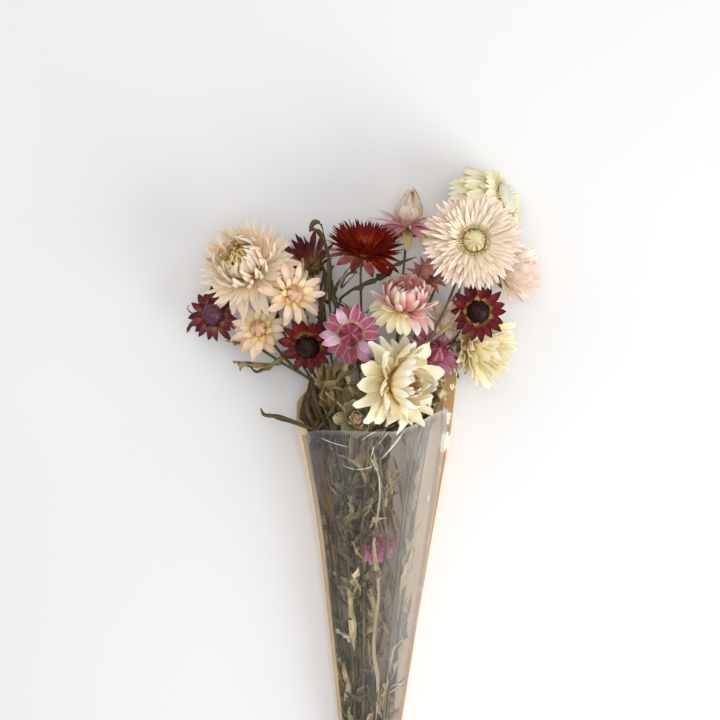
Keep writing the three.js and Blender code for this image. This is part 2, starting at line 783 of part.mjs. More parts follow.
// A closed body over such rings, from its top ring down. Of each band's facets, those that hang
// from its upper ring may be drawn out into a blade: blades maps "band,facet" to its rings.
function spikedBody(rings, blades = new Map()) {
  const points = rings.flat();
  const count = rings[0].length;
  const triangles = [];
  for (let i = 1; i < count - 1; i++) {
    const last = count * (rings.length - 1);
    triangles.push(0, i, i + 1, last, last + i + 1, last + i);
  }
  for (let band = 0; band < rings.length - 1; band++) {
    for (let i = 0; i < count; i++) {
      const upper = [i, (i + 1) % count].map((n) => n + band * count);
      const lower = [i, (i + 1) % count].map((n) => n + (band + 1) * count);
      const facet = [upper[1], upper[0], lower[0]];
      const blade = blades.get(`${band},${i}`);
      triangles.push(upper[1], lower[0], lower[1]);
      triangles.push(...(blade ? drawnOut(points, facet, blade) : facet));
    }
  }
  return solidOf(points, triangles);
}

function solidOf(points, triangles) {
  return solidFrom(new Float32Array(points.flatMap((p) => p.toArray())), new Uint32Array(triangles));
}

// The triangles of a blade that is drawn out of a facet, whose own triangle they replace. The
// blade's points join the others in `points`. Each face is split so that it bulges, which keeps a
// twisted blade from crossing itself.
function drawnOut(points, facet, bladeRings) {
  const triangles = [];
  let from = facet;
  for (const ring of fitted(facet.map((n) => points[n]), bladeRings)) {
    const next = ring.map((point) => points.push(point) - 1);
    for (let n = 0; n < 3; n++) {
      const [a, b] = [from[n], from[(n + 1) % 3]];
      const [c, d] = [next[(n + 1) % next.length], next[n % next.length]];
      if (c === d) triangles.push(a, b, c);
      else if (rises(points, a, b, c, d)) triangles.push(a, b, d, b, c, d);
      else triangles.push(a, b, c, a, c, d);
    }
    from = next;
  }
  return triangles;
}

// Whether point d lies outside the plane of the triangle a, b, c.
function rises(points, a, b, c, d) {
  const [ab, ac, ad] = [b, c, d].map((n) => points[n].clone().sub(points[a]));
  return ab.cross(ac).dot(ad) > 0;
}

// The corners of the facet that a blade at a place in a band is drawn out of.
function facetAt(rings, band, place) {
  const next = (place + 1) % rings[0].length;
  return [rings[band][next], rings[band][place], rings[band + 1][place]];
}

const centreOf = (corners) => corners.reduce((sum, p) => sum.add(p), v3(0, 0, 0)).divideScalar(3);

// A drawn blade as a solid of its own. Off its seat, it starts a little clear of its facet and in
// from the facet's edges, so that it meets the body only where it really crosses it.
function bladeAlone(corners, bladeRings, isOffSeat) {
  const middle = centreOf(corners);
  const out = centreOf(bladeRings[0]).sub(middle).normalize();
  const points = corners.map((corner) => {
    if (!isOffSeat) return corner;
    return corner.clone().lerp(middle, clearances.seatInset).addScaledVector(out, clearances.seatLift);
  });
  return solidOf(points, [0, 2, 1, ...drawnOut(points, [0, 1, 2], bladeRings)]);
}

// Whether an edge runs through a triangle, other than at the edge's own ends.
function pierces([from, to], [a, b, c]) {
  const ray = new THREE.Ray(from, to.clone().sub(from).normalize());
  const hit = ray.intersectTriangle(a, b, c, false, v3(0, 0, 0));
  if (!hit) return false;
  const reach = hit.distanceTo(from);
  return reach > clearances.edge && reach < from.distanceTo(to) - clearances.edge;
}

// Whether a drawn blade has faces that cross.
function crossesItself(corners, bladeRings) {
  const points = [...corners];
  const indices = drawnOut(points, [0, 1, 2], bladeRings);
  const faces = [];
  for (let i = 0; i < indices.length; i += 3) faces.push(indices.slice(i, i + 3).map((n) => points[n]));
  return faces.some((face, n) => {
    const edges = [0, 1, 2].map((k) => [face[k], face[(k + 1) % 3]]);
    return faces.some((other, m) => m !== n && edges.some((edge) => pierces(edge, other)));
  });
}

// Whether the blades of a body keep clear of the body and of each other.
function bladesAreClear({ rings, blades }) {
  const seats = [...blades].map(([key, blade]) => [facetAt(rings, ...key.split(",").map(Number)), blade]);
  if (seats.some(([corners, blade]) => crossesItself(corners, blade))) return false;
  const body = entryOf(spikedBody(rings));
  const seated = seats.map(([corners, blade]) => entryOf(bladeAlone(corners, blade, false)));
  return seats.every(([corners, blade], n) => {
    const others = [body, ...seated.filter((entry, k) => k !== n)];
    return freeOf(bladeAlone(corners, blade, true), others);
  });
}

// A blade's rings, each started at the point that suits the corners that it is drawn out of.
function fitted(corners, bladeRings) {
  const ring = bladeRings[0];
  const turnBy = (start, row) => row.map((unused, n) => row[(n + start) % row.length]);
  const strain = (start) => {
    const moved = turnBy(start, ring).map((point, n) => point.clone().sub(corners[n]));
    const mean = centreOf(moved);
    return moved.reduce((sum, point) => sum + point.distanceToSquared(mean), 0);
  };
  const best = [0, 1, 2].sort((a, b) => strain(a) - strain(b))[0];
  return bladeRings.map((row) => turnBy(best, row));
}

// A bract that grows from the middle of a facet, at tilts from +Z at its root and its tip. Side
// by side in their layer, bracts keep clear of each other.
function bractBlade(rings, band, facet, [rootTilt, tipTilt, length, width], radius, roll) {
  const root = centreOf(facetAt(rings, band, facet));
  const spin = Math.atan2(root.y, root.x);
  const out = v3(Math.cos(spin), Math.sin(spin), 0);
  const tilt = rootTilt * degrees + around(roll, 4 * degrees);
  const bend = (rootTilt - tipTilt) * degrees;
  const share = Math.tan(Math.PI / rings[0].length) * 0.88;
  return {
    root,
    along: turned(tableUp, out, tilt),
    up: turned(out, tableUp, -tilt).multiplyScalar(-1),
    length: radius * length * (1 + around(roll, 0.07)),
    width: radius * width,
    bend,
    thickness: 1,
    stations: Math.abs(bend) > 44 * degrees && length > 0.6 ? [0, 0.36, 0.72, 1] : [0, 0.5, 1],
    widest: (point) => Math.hypot(point.x, point.y) * share,
  };
}

// The same bract closed or opened a little, less bent, then shorter.
function bractShapes(blade) {
  const shapes = [];
  for (const size of [1, 0.85, 0.7, 0.55]) {
    for (const shift of [0, 8, -8, 16, -16, 26, -26, 38]) {
      const angle = shift * degrees;
      const along = turned(blade.along, blade.up, angle);
      const up = turned(blade.up, blade.along, -angle);
      const bend = blade.bend * (shift < 0 ? 0.8 : 1);
      shapes.push({ ...blade, along, up, bend, length: blade.length * size });
    }
  }
  return shapes;
}

function bladeSolid(blade, extra = 0, from = 0) {
  const stations = blade.stations.map((share) => Math.max(share, from));
  return skin(bladeRings({ ...blade, stations }, extra));
}

function coreRings(row) {
  const { count, core, layers } = kinds[row.kind];
  const r = row.radius;
  const profile = layers.map((unused, k) => k).concat(layers.length).map((k) => {
    const angle = mix(core.top, 114, k / layers.length) * degrees;
    return [core.radius * Math.sin(angle) * r, core.height * Math.cos(angle) * r];
  });
  profile.push([stemShape.neckRadius * 1.5, -cupDepth * r]);
  return ringsOfPoints(profile, count);
}

function middleRings(row) {
  const { count, rings } = kinds[row.kind].middle;
  const floor = coreRings(row)[0][0].z + stemShape.headGap;
  const lift = floor - rings[rings.length - 1][1] * row.radius;
  const profile = rings.map(([radius, height]) => [radius * row.radius, height * row.radius + lift]);
  return ringsOfPoints(profile, count);
}

// A body over rings, with layers of bracts drawn out of its bands. Each bract takes the first of
// its shapes that `hasRoom` accepts and that is clear of the body and of the bracts before it.
function bractBody(rings, layers, radius, roll, hasRoom = () => true) {
  const blades = new Map();
  const own = [entryOf(spikedBody(rings))];
  layers.forEach((bract, band) => {
    for (let i = 0; bract && i < rings[0].length; i++) {
      const corners = facetAt(rings, band, i);
      const blade = bractBlade(rings, band, i, bract, radius, roll);
      const clear = bractShapes(blade).find((shape) => {
        const swollen = bladeRings(shape, clearances.own).slice(1);
        if (!freeOf(bladeAlone(corners, swollen, true), own) || !hasRoom(shape)) return false;
        return !crossesItself(corners, bladeRings(shape).slice(1));
      });
      if (!clear) continue;
      const drawn = bladeRings(clear).slice(1);
      own.push(entryOf(bladeAlone(corners, drawn, false)));
      blades.set(`${band},${i}`, drawn);
    }
  });
  return spikedBody(rings, blades);
}

// The middle of a head, with short bracts that close over it.
function middleSolid(row) {
  return bractBody(middleRings(row), kinds[row.kind].teeth, row.radius, dice(7));
}

// A head's bracts, layer by layer, each also bent clear of all that stands.
function bractsSolid(row, index, place, others) {
  return bractBody(coreRings(row), kinds[row.kind].layers, row.radius, dice(101 + index), (shape) => {
    const swollen = bladeSolid(shape, clearances.bract).transform(place.elements);
    return aboveTable(swollen) && freeOf(swollen, others);
  });
}

// ---------------------------------------------------------------- leaves

const leafThickness = 1.1;
const leafDraws = {
  shares: [0.16, 0.8], // of its stem, between the lowest and the highest leaf
  lengths: [26, 46],
  widths: [4.6, 8],
  opening: [16, 44],
  bend: 36,
  curl: 70,
  twist: 90,
};

// The middle of the facet that a leaf grows from, and the way that side of the stem faces.
function leafSeat(path, at, side) {
  const [upper, lower] = [stemRing(path, at + leafRoot), stemRing(path, at)];
  const next = (side + 1) % stemShape.sides;
  const root = centreOf([upper[next], upper[side], lower[side]]);
  const { tangent, side: across, rise } = path.frames[at];
  const spoke = turned(across, rise, ((side + 0.5) / stemShape.sides) * 360 * degrees);
  return { root, tangent, spoke };
}

// The same leaf on each side of its stem in turn, then smaller and closer to the stem.
function drawnLeaf(path, share, n, roll) {
  const at = Math.round(share * (path.points.length - 1));
  const [length, width, opening] = [leafDraws.lengths, leafDraws.widths, leafDraws.opening].map(
    ([least, most]) => mix(least, most, roll()),
  );
  const [bend, curl, twist] = [leafDraws.bend, leafDraws.curl, leafDraws.twist].map(
    (most) => around(roll, most) * degrees,
  );
  return [1, 0.8, 0.6].flatMap((size) => {
    return [0, 1, 4, 2, 3].map((turn) => {
      const side = (n * 2 + turn) % stemShape.sides;
      const { root, tangent, spoke } = leafSeat(path, at, side);
      const angle = opening * size * degrees;
      const blade = {
        root,
        along: turned(tangent, spoke, angle),
        up: turned(spoke, tangent, -angle).multiplyScalar(-1),
        length: length * size,
        width: width * size,
        bend,
        curl,
        twist,
        thickness: leafThickness,
        stations: [0, 0.34, 0.68, 1],
      };
      return { at, side, blade };
    });
  });
}

// A leaf of the list, on the side of its stem that faces the way it points, lifted or lowered.
function singleLeaf(path, row) {
  const near = pointOf(row.near);
  const distances = path.points.slice(0, -2).map((point) => point.distanceTo(near));
  const at = distances.indexOf(Math.min(...distances));
  const toward = pointOf(row.toward).normalize();
  const facing = (side) => leafSeat(path, at, side).spoke.dot(toward);
  const side = [0, 1, 2, 3, 4].sort((a, b) => facing(b) - facing(a))[0];
  const across = v3(-toward.y, toward.x, 0).normalize();
  return [0, 12, -12, 24, -24].map((lift) => {
    const along = toward.clone().applyAxisAngle(across, -lift * degrees);
    const blade = {
      root: leafSeat(path, at, side).root,
      along,
      up: along.clone().cross(across),
      length: row.length,
      width: row.width,
      bend: row.bend * degrees,
      curl: row.curl * degrees,
      twist: row.twist * degrees,
      thickness: leafThickness,
      stations: [0, 0.3, 0.6, 0.8, 0.9, 1],
    };
    return { at, side, blade };
  });
}

// ---------------------------------------------------------------- the bunch

const bunch = new THREE.Group();
bunch.name = "strawflower_bunch";

function addMesh(name, geometry, colour, settings = {}) {
  const material = new THREE.MeshStandardMaterial({ color: colour, roughness: 0.8, ...settings });
  const mesh = new THREE.Mesh(geometry, material);
  mesh.name = name;
  return mesh;
}

const paperSheet = sheetSolid(paperLine, sleeve.paper, paperTop);
const filmSheet = sheetSolid(filmLine, sleeve.film, filmTop);
stand(paperSheet);
stand(filmSheet);
const paperMesh = addMesh("sleeve_paper_back", geometryOf(paperSheet), colours.paper);
const filmLooks = { transparent: true, opacity: 0.35, roughness: 0.15 };
const filmMesh = addMesh("sleeve_film_front", geometryOf(filmSheet), colours.film, filmLooks);
bunch.add(paperMesh, filmMesh);

const paths = combedPaths();
const tubes = new Map(paths.map((path) => [path.name, stemSolid(stemPlan(path))]));
for (const tube of tubes.values()) stand(tube);

const middles = heads.map((row) => middleSolid(row));
const blanks = heads.map((row, index) => {
  const place = headPlace(row).elements;
  stand(middles[index].transform(place));
  return stand(spikedBody(coreRings(row)).transform(place));
});
heads.forEach((row, index) => {
  const place = headPlace(row);
  const others = standing.filter((entry) => entry !== blanks[index]);
  const bracts = bractsSolid(row, index, place, others);
  standing.splice(standing.indexOf(blanks[index]), 1);
  stand(bracts.transform(place.elements));
  const group = new THREE.Group();
  place.decompose(group.position, group.quaternion, group.scale);
  group.add(addMesh(`${row.name}_bracts`, geometryOf(bracts), row.petals, { roughness: 0.6 }));
  group.add(addMesh(`${row.name}_middle`, geometryOf(middles[index]), row.centre, { roughness: 0.6 }));
  bunch.add(group);
});

stems.forEach((stem, order) => {
  const roll = dice(501 + order);
  const family = paths.filter((path) => path.name === stem.head || path.parent?.name === stem.head);
  const own = family.map((path) => standing.find((entry) => entry.solid === tubes.get(path.name)));
  const others = standing.filter((entry) => !own.includes(entry));
  const branches = own.slice(1);
  const main = family[0];
  const leaves = [];
  const grow = (tries) => {
    const clear = tries.find((leaf) => {
      const swollen = bladeSolid(leaf.blade, clearances.leaf);
      if (leaves.some(({ at }) => Math.abs(leaf.at - at) < 1)) return false;
      if (!aboveTable(swollen) || !freeOf(swollen, others)) return false;
      if (!freeOf(bladeSolid(leaf.blade, clearances.own, clearances.leafRootShare), branches)) return false;
      const plan = stemPlan(main, [...leaves, leaf]);
      return bladesAreClear(plan) && freeOf(stemSolid(plan), others);
    });
    if (clear) leaves.push(clear);
  };
  for (const row of singleLeaves) {
    if (row.stem === stem.head) grow(singleLeaf(main, row));
  }
  for (let n = 0; n < stem.leaves; n++) {
    const share = mix(...leafDraws.shares, (n + 0.1 + 0.8 * roll()) / stem.leaves);
    grow(drawnLeaf(main, share, n, roll));
  }
  const solid = united([stemSolid(stemPlan(main, leaves)), ...branches.map((entry) => entry.solid)]);
  standing.splice(0, standing.length, ...others);
  stand(solid);
  bunch.add(addMesh(`${stem.head}_stem`, geometryOf(solid), colours.stem));
});

export default bunch;
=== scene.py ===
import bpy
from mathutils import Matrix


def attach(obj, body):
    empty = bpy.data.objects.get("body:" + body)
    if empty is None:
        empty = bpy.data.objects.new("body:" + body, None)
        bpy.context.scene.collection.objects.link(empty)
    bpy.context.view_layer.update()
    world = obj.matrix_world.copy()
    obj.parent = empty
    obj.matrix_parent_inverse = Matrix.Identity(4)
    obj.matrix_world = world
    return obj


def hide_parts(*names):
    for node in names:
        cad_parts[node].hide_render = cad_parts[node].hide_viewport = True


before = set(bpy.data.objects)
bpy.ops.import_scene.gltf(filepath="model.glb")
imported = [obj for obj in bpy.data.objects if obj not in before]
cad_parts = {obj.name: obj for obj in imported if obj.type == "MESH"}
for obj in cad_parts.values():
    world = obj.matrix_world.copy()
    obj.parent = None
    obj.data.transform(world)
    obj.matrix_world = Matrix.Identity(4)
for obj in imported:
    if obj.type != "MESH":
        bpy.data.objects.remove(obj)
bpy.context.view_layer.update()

import math
import random

import bmesh
import bpy
from mathutils import Matrix, Vector, noise

mm = 0.001
upward = Vector((0, 0, 1))
stay = Matrix.Identity(4)
sharpTurn = 0.8  # an edge whose faces turn by more, in radians, is drawn sharp
floorGap = 0.3 * mm
scene = bpy.context.scene


def mix(a, b, share):
    return a + (b - a) * share


def linear(part):
    return part / 12.92 if part <= 0.04045 else ((part + 0.055) / 1.055) ** 2.4


# A colour given as 0 to 255, as the shader reads it.
def shade(red, green, blue):
    return (linear(red / 255), linear(green / 255), linear(blue / 255), 1.0)


def lengthOf(points):
    return sum((b - a).length for a, b in zip(points, points[1:]))


# A random share between minus a half and a half.
def swing(roll):
    return roll.random() - 0.5


# Where a blade's own waves start.
def seedOf(roll):
    return roll.random() * 40


def camel(name):
    first, *rest = name.split("_")
    return first + "".join(word.capitalize() for word in rest)


# A smooth curve through points, at a share of its length.
def splineAt(points, share):
    last = len(points) - 1
    place = min(max(share, 0.0) * last, last - 1e-6)
    i = int(place)
    t = place - i
    b, c = points[i], points[i + 1]
    a = points[i - 1] if i > 0 else b * 2 - c
    d = points[i + 2] if i + 2 <= last else c * 2 - b
    return (b * 2 + (c - a) * t + (a * 2 - b * 5 + c * 4 - d) * t * t
            + (b * 3 - a - c * 3 + d) * t ** 3) / 2


def addObject(name, data):
    made = bpy.data.objects.new(name, data)
    scene.collection.objects.link(made)
    return made


def meshData(mesh, name, materials):
    data = bpy.data.meshes.new(name)
    mesh.to_mesh(data)
    mesh.free()
    for material in materials:
        data.materials.append(material)
    return data


# A piece of the bunch, fixed to the root body in place of the CAD node it stands in for, which is hidden.
def ridePiece(name, data, node):
    piece = addObject(name, data)
    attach(piece, "root")
    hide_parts(node)
    return piece


def smoothed(mesh):
    for face in mesh.faces:
        face.smooth = True
    for edge in mesh.edges:
        edge.smooth = edge.calc_face_angle(0) < sharpTurn


# Numbers kept on a mesh's points, for the materials. A layer is fetched after all are made.
def pointLayers(mesh, names):
    floats = mesh.verts.layers.float
    for name in names:
        floats.new(name)
    return {name: floats[name] for name in names}


class Wire:
    # a socket of a material; sums and products with it add Math nodes
    def __init__(self, finish, socket):
        self.finish = finish
        self.socket = socket

    def maths(self, operation, *values):
        return self.finish.node("Math", {"operation": operation}, dict(enumerate(values)))

    def __add__(self, other):
        return self.maths("ADD", self, other)

    def __radd__(self, other):
        return self.maths("ADD", other, self)

    def __sub__(self, other):
        return self.maths("SUBTRACT", self, other)

    def __rsub__(self, other):
        return self.maths("SUBTRACT", other, self)

    def __mul__(self, other):
        return self.maths("MULTIPLY", self, other)

    def __rmul__(self, other):
        return self.maths("MULTIPLY", other, self)

    def __abs__(self):
        return self.maths("ABSOLUTE", self)

    def ramp(self, low, high, start=0.0, end=1.0):
        sockets = {"Value": self, "From Min": low, "From Max": high, "To Min": start, "To Max": end}
        return self.finish.node("MapRange", {"interpolation_type": "SMOOTHSTEP"}, sockets)


class Finish:
    def __init__(self, name):
        self.material = bpy.data.materials.new(name)
        self.material.use_nodes = True
        self.tree = self.material.node_tree
        self.shader = self.tree.nodes["Principled BSDF"]

    # Any node: its type, its settings, then its sockets' values or links.
    def node(self, kind, settings=None, sockets=None, output=0):
        made = self.tree.nodes.new("ShaderNode" + kind)
        for key, value in (settings or {}).items():
            setattr(made, key, value)
        for key, value in (sockets or {}).items():
            self.feed(self.pick(made.inputs, key), value)
        return Wire(self, self.pick(made.outputs, output))

    def pick(self, sockets, key):
        shown = [socket for socket in sockets if socket.enabled]
        if isinstance(key, int):
            return shown[key]
        return next(socket for socket in shown if socket.name == key)

    def feed(self, socket, value):
        if isinstance(value, Wire):
            self.tree.links.new(value.socket, socket)
        else:
            socket.default_value = value

    def attribute(self, name):
        return self.node("Attribute", {"attribute_name": name}, output="Fac")

    def place(self):
        return self.node("TexCoord", output="Object")

    def part(self, vector, axis):
        return self.node("SeparateXYZ", sockets={"Vector": vector}, output=axis)

    def vector(self, x, y, z):
        return self.node("CombineXYZ", sockets={"X": x, "Y": y, "Z": z})

    def blend(self, share, first, second, how="MIX"):
        settings = {"data_type": "RGBA", "blend_type": how}
        return self.node("Mix", settings, {"Factor": share, "A": first, "B": second})

    def grain(self, where, scale, detail=3.0, roughness=0.5):
        sockets = {"Vector": where, "Scale": scale, "Detail": detail, "Roughness": roughness}
        return self.node("TexNoise", sockets=sockets)

    def stretched(self, where, scale):
        return self.node("Mapping", sockets={"Vector": where, "Scale": scale})

    def bump(self, height, strength, distance):
        sockets = {"Strength": strength, "Distance": distance, "Height": height}
        return self.node("Bump", sockets=sockets)

    # Sets the shader's own sockets.
    def done(self, sockets):
        for key, value in sockets.items():
            self.feed(self.shader.inputs[key], value)
        return self.material


# What a look has unless it says otherwise. The root's colour ends at reach and the tip's
# begins at tipFrom, as shares of the bract's length.
plainLook = {"reach": 0.4, "tipFrom": 0.6, "edgeShare": 0.5, "ribs": 0.55, "tones": 0.5,
             "rough": 0.5, "glow": 0.25, "sheen": 0.05, "gloss": 0.4}
sunlit = (1.07, 1.06, 1.05, 1.0)


# A dried bract: one colour at its root, one in its middle and one at its tip, a tinted edge
# and fine ribs from root to tip. Each bract also has a tone of its own.
def bractFinish(name, look):
    look = {**plainLook, **look}
    root, middle, tip, rim, shadow = [shade(*colour) for colour in look["colours"]]
    finish = Finish(name)
    along = finish.attribute("along")
    side = finish.attribute("across")
    across = abs(side)
    tone = finish.attribute("tone")
    rib = finish.grain(finish.vector(side * 7 + tone * 40, along * 0.9, tone * 90), 1.6, 3.0, 0.6)
    blotch = finish.grain(finish.vector(across + tone * 20, along * 2, tone * 70), 1.1, 2.0)
    # The root's warm colour is partly the bract's own and partly painted shade deep in the head.
    colour = finish.blend(along.ramp(0.02, look["reach"]), root, middle)
    colour = finish.blend(along.ramp(look["tipFrom"], 1.0), colour, tip)
    colour = finish.blend(across.ramp(0.45, 1.1) * look["edgeShare"], colour, rim)
    colour = finish.blend(rib.ramp(0.42, 0.72) * look["ribs"], colour, shadow, "MULTIPLY")
    colour = finish.blend(blotch.ramp(0.4, 0.75) * 0.6, colour, sunlit, "MULTIPLY")
    colour = finish.blend(tone.ramp(0.35, 1.0) * look["tones"], colour, shadow, "MULTIPLY")
    return finish.done({
        "Base Color": colour,
        "Roughness": rib * 0.22 + (look["rough"] - 0.1),
        "Normal": finish.bump(rib, 0.3, 0.0003),
        "Subsurface Weight": look["glow"],
        "Subsurface Scale": 0.0025,
        "Subsurface Radius": (1.0, 0.65, 0.4),
        "Sheen Weight": look["sheen"],
        "Specular IOR Level": look["gloss"],
    })


# Each look's colours are those of the root, the middle, the tip, the edge and the shadow.
looks = {
    "paleInner": {"colours": [(222, 200, 136), (243, 227, 200), (248, 234, 214), (250, 240, 224),
        (226, 196, 172)], "ribs": 0.3, "tones": 0.3},
    "paleOuter": {"colours": [(230, 208, 162), (241, 216, 196), (246, 230, 216), (248, 236, 222),
        (228, 190, 180)], "ribs": 0.35},
    "doubleDome": {"colours": [(254, 210, 154), (255, 242, 212), (255, 246, 226), (255, 216, 190),
        (255, 216, 194)], "ribs": 0.25, "reach": 0.35, "glow": 0.45, "tones": 0.4, "edgeShare": 0.7},
    "doubleInner": {"colours": [(214, 168, 60), (244, 208, 112), (252, 232, 170), (246, 222, 150),
        (196, 160, 130)], "glow": 0.4},
    "doubleSkirt": {"colours": [(255, 222, 156), (255, 236, 206), (255, 212, 190), (255, 226, 204),
        (255, 220, 198)], "ribs": 0.2, "glow": 0.45, "tones": 0.25},
    "peachRing": {"colours": [(244, 214, 84), (250, 238, 190), (245, 216, 198), (246, 220, 190),
        (238, 200, 160)], "ribs": 0.3, "reach": 0.5},
    "peach": {"colours": [(248, 228, 110), (250, 234, 208), (232, 194, 174), (240, 210, 190),
        (234, 192, 166)], "ribs": 0.35, "tipFrom": 0.45, "glow": 0.18},
    "peachBud": {"colours": [(246, 216, 130), (248, 206, 176), (244, 180, 150), (206, 128, 80),
        (196, 160, 130)], "edgeShare": 0.7},
    "wineRing": {"colours": [(226, 186, 116), (206, 156, 100), (120, 44, 36), (110, 30, 30),
        (160, 120, 110)], "reach": 0.6, "glow": 0.04, "gloss": 0.25},
    "wineStar": {"colours": [(214, 170, 100), (118, 20, 30), (52, 10, 18), (70, 14, 22),
        (160, 110, 110)], "reach": 0.42, "gloss": 0.25, "glow": 0.04},
    "wineLow": {"colours": [(226, 182, 92), (122, 28, 32), (62, 14, 24), (82, 18, 28),
        (160, 110, 110)], "reach": 0.46, "gloss": 0.25, "glow": 0.04},
    "wineLeft": {"colours": [(222, 186, 122), (124, 42, 58), (74, 20, 36), (86, 26, 42),
        (160, 110, 110)], "reach": 0.62, "gloss": 0.25, "glow": 0.04},
    "budPlum": {"colours": [(76, 18, 20), (34, 8, 10), (12, 4, 5), (30, 8, 8), (150, 110, 110)],
        "gloss": 0.2, "glow": 0.0, "sheen": 0.0, "ribs": 0.3},
    "budViolet": {"colours": [(110, 50, 60), (88, 36, 56), (64, 24, 42), (52, 18, 32),
        (150, 110, 110)], "rough": 0.36, "gloss": 0.45, "glow": 0.0, "ribs": 0.3},
    "roseRing": {"colours": [(236, 190, 84), (242, 214, 168), (196, 104, 140), (222, 168, 176),
        (216, 160, 160)], "reach": 0.7, "tipFrom": 0.55},
    "roseStar": {"colours": [(246, 222, 160), (178, 90, 122), (140, 54, 92), (238, 204, 222),
        (180, 108, 130)], "gloss": 0.5, "tones": 0.9, "edgeShare": 0.75},
    "rosePale": {"colours": [(252, 240, 222), (232, 194, 214), (190, 120, 160), (244, 224, 234),
        (210, 160, 186)], "gloss": 0.5},
    "budRose": {"colours": [(190, 100, 100), (156, 56, 84), (120, 34, 60), (236, 166, 182),
        (180, 100, 120)], "edgeShare": 0.8, "rough": 0.4, "tones": 0.8, "gloss": 0.3},
    "roseNarrow": {"colours": [(214, 158, 140), (200, 118, 152), (216, 156, 184), (226, 170, 190),
        (186, 110, 130)], "tones": 0.8},
    "globePink": {"colours": [(172, 70, 84), (220, 152, 148), (248, 222, 210), (250, 228, 216),
        (234, 182, 176)], "reach": 0.5, "edgeShare": 0.7, "glow": 0.36, "tones": 0.8},
    "globePale": {"colours": [(206, 128, 134), (246, 212, 208), (252, 234, 226), (254, 238, 230),
        (240, 200, 194)], "reach": 0.5, "glow": 0.4, "tones": 0.6},
    "globeSkirt": {"colours": [(248, 220, 152), (254, 242, 198), (254, 240, 206), (254, 244, 212),
        (246, 222, 184)], "ribs": 0.25, "glow": 0.4, "tones": 0.3},
    "rustInner": {"colours": [(214, 84, 20), (150, 28, 14), (84, 16, 11), (116, 26, 17),
        (150, 90, 90)], "reach": 0.6, "glow": 0.0, "tones": 0.7, "rough": 0.6, "gloss": 0.15,
        "sheen": 0.0},
    "rustOuter": {"colours": [(238, 210, 156), (172, 96, 102), (88, 26, 38), (204, 144, 138),
        (160, 90, 96)], "gloss": 0.35, "tones": 0.9},
    "wineFan": {"colours": [(208, 172, 104), (116, 34, 44), (70, 22, 34), (84, 26, 38),
        (160, 110, 110)], "glow": 0.04, "gloss": 0.25, "rough": 0.55, "reach": 0.62},
    "duskyPink": {"colours": [(216, 188, 150), (190, 124, 120), (150, 78, 88), (220, 168, 150),
        (180, 130, 116)]},
    "creamCup": {"colours": [(236, 192, 104), (243, 230, 190), (252, 246, 226), (248, 242, 214),
        (230, 212, 178)], "ribs": 0.3, "tones": 0.3, "glow": 0.4},
    "creamBall": {"colours": [(236, 180, 84), (244, 231, 192), (253, 252, 242), (250, 244, 216),
        (230, 200, 146)], "ribs": 0.3, "tones": 0.3, "glow": 0.4},
    "creamFan": {"colours": [(246, 204, 116), (254, 240, 192), (255, 249, 226), (252, 244, 214),
        (244, 220, 174)], "ribs": 0.25, "glow": 0.45, "reach": 0.45, "tones": 0.25},
    "blushSmall": {"colours": [(244, 224, 156), (254, 232, 210), (252, 214, 204), (254, 236, 220),
        (246, 216, 198)], "glow": 0.4},
    "blushBell": {"colours": [(250, 228, 148), (255, 242, 224), (254, 226, 220), (254, 236, 228),
        (250, 224, 208)], "reach": 0.5, "ribs": 0.2, "glow": 0.45, "tones": 0.25},
    "creamTop": {"colours": [(226, 210, 136), (248, 240, 200), (252, 246, 216), (250, 245, 214),
        (238, 222, 180)], "ribs": 0.4, "tones": 0.3, "glow": 0.35},
    "coneBlush": {"colours": [(236, 180, 152), (250, 226, 200), (248, 222, 196), (214, 168, 136),
        (226, 186, 162)], "ribs": 0.7, "glow": 0.4, "tones": 0.2, "edgeShare": 0.8},
    "starPink": {"colours": [(204, 120, 138), (222, 160, 164), (236, 200, 192), (234, 190, 184),
        (196, 126, 134)]},
    "starMagenta": {"colours": [(182, 84, 122), (200, 124, 148), (198, 132, 142), (214, 152, 164),
        (184, 116, 126)], "tones": 0.7},
    "calyxCream": {"colours": [(160, 148, 86), (220, 210, 160), (228, 208, 166), (214, 190, 150),
        (190, 170, 120)]},
    "dryOlive": {"colours": [(124, 118, 78), (168, 162, 122), (186, 180, 142), (140, 128, 88),
        (160, 140, 110)], "rough": 0.62},
    "dryTuft": {"colours": [(150, 122, 82), (230, 202, 156), (250, 234, 200), (226, 194, 150),
        (222, 188, 150)], "rough": 0.62, "ribs": 0.3, "tones": 0.3, "reach": 0.25},
    "dryHusk": {"colours": [(44, 34, 22), (98, 76, 48), (178, 150, 108), (120, 94, 60),
        (150, 120, 90)], "rough": 0.62},
    "calyxBrown": {"colours": [(104, 92, 54), (168, 144, 92), (198, 170, 114), (130, 100, 62),
        (160, 130, 100)], "rough": 0.6},
    "strawTeeth": {"colours": [(164, 128, 60), (234, 216, 146), (248, 238, 202), (236, 220, 162),
        (196, 160, 130)], "ribs": 0.2},
    "stamenRust": {"colours": [(160, 88, 34), (212, 136, 52), (238, 186, 98), (186, 104, 44),
        (180, 110, 70)], "tones": 0.8, "rough": 0.6},
    "stamenGlow": {"colours": [(176, 62, 16), (206, 74, 20), (222, 100, 30), (160, 50, 20),
        (170, 80, 60)], "tones": 0.8, "rough": 0.6},
}
finishes = {}


def finishNamed(name):
    if name not in finishes:
        finishes[name] = bractFinish(name, looks[name])
    return finishes[name]


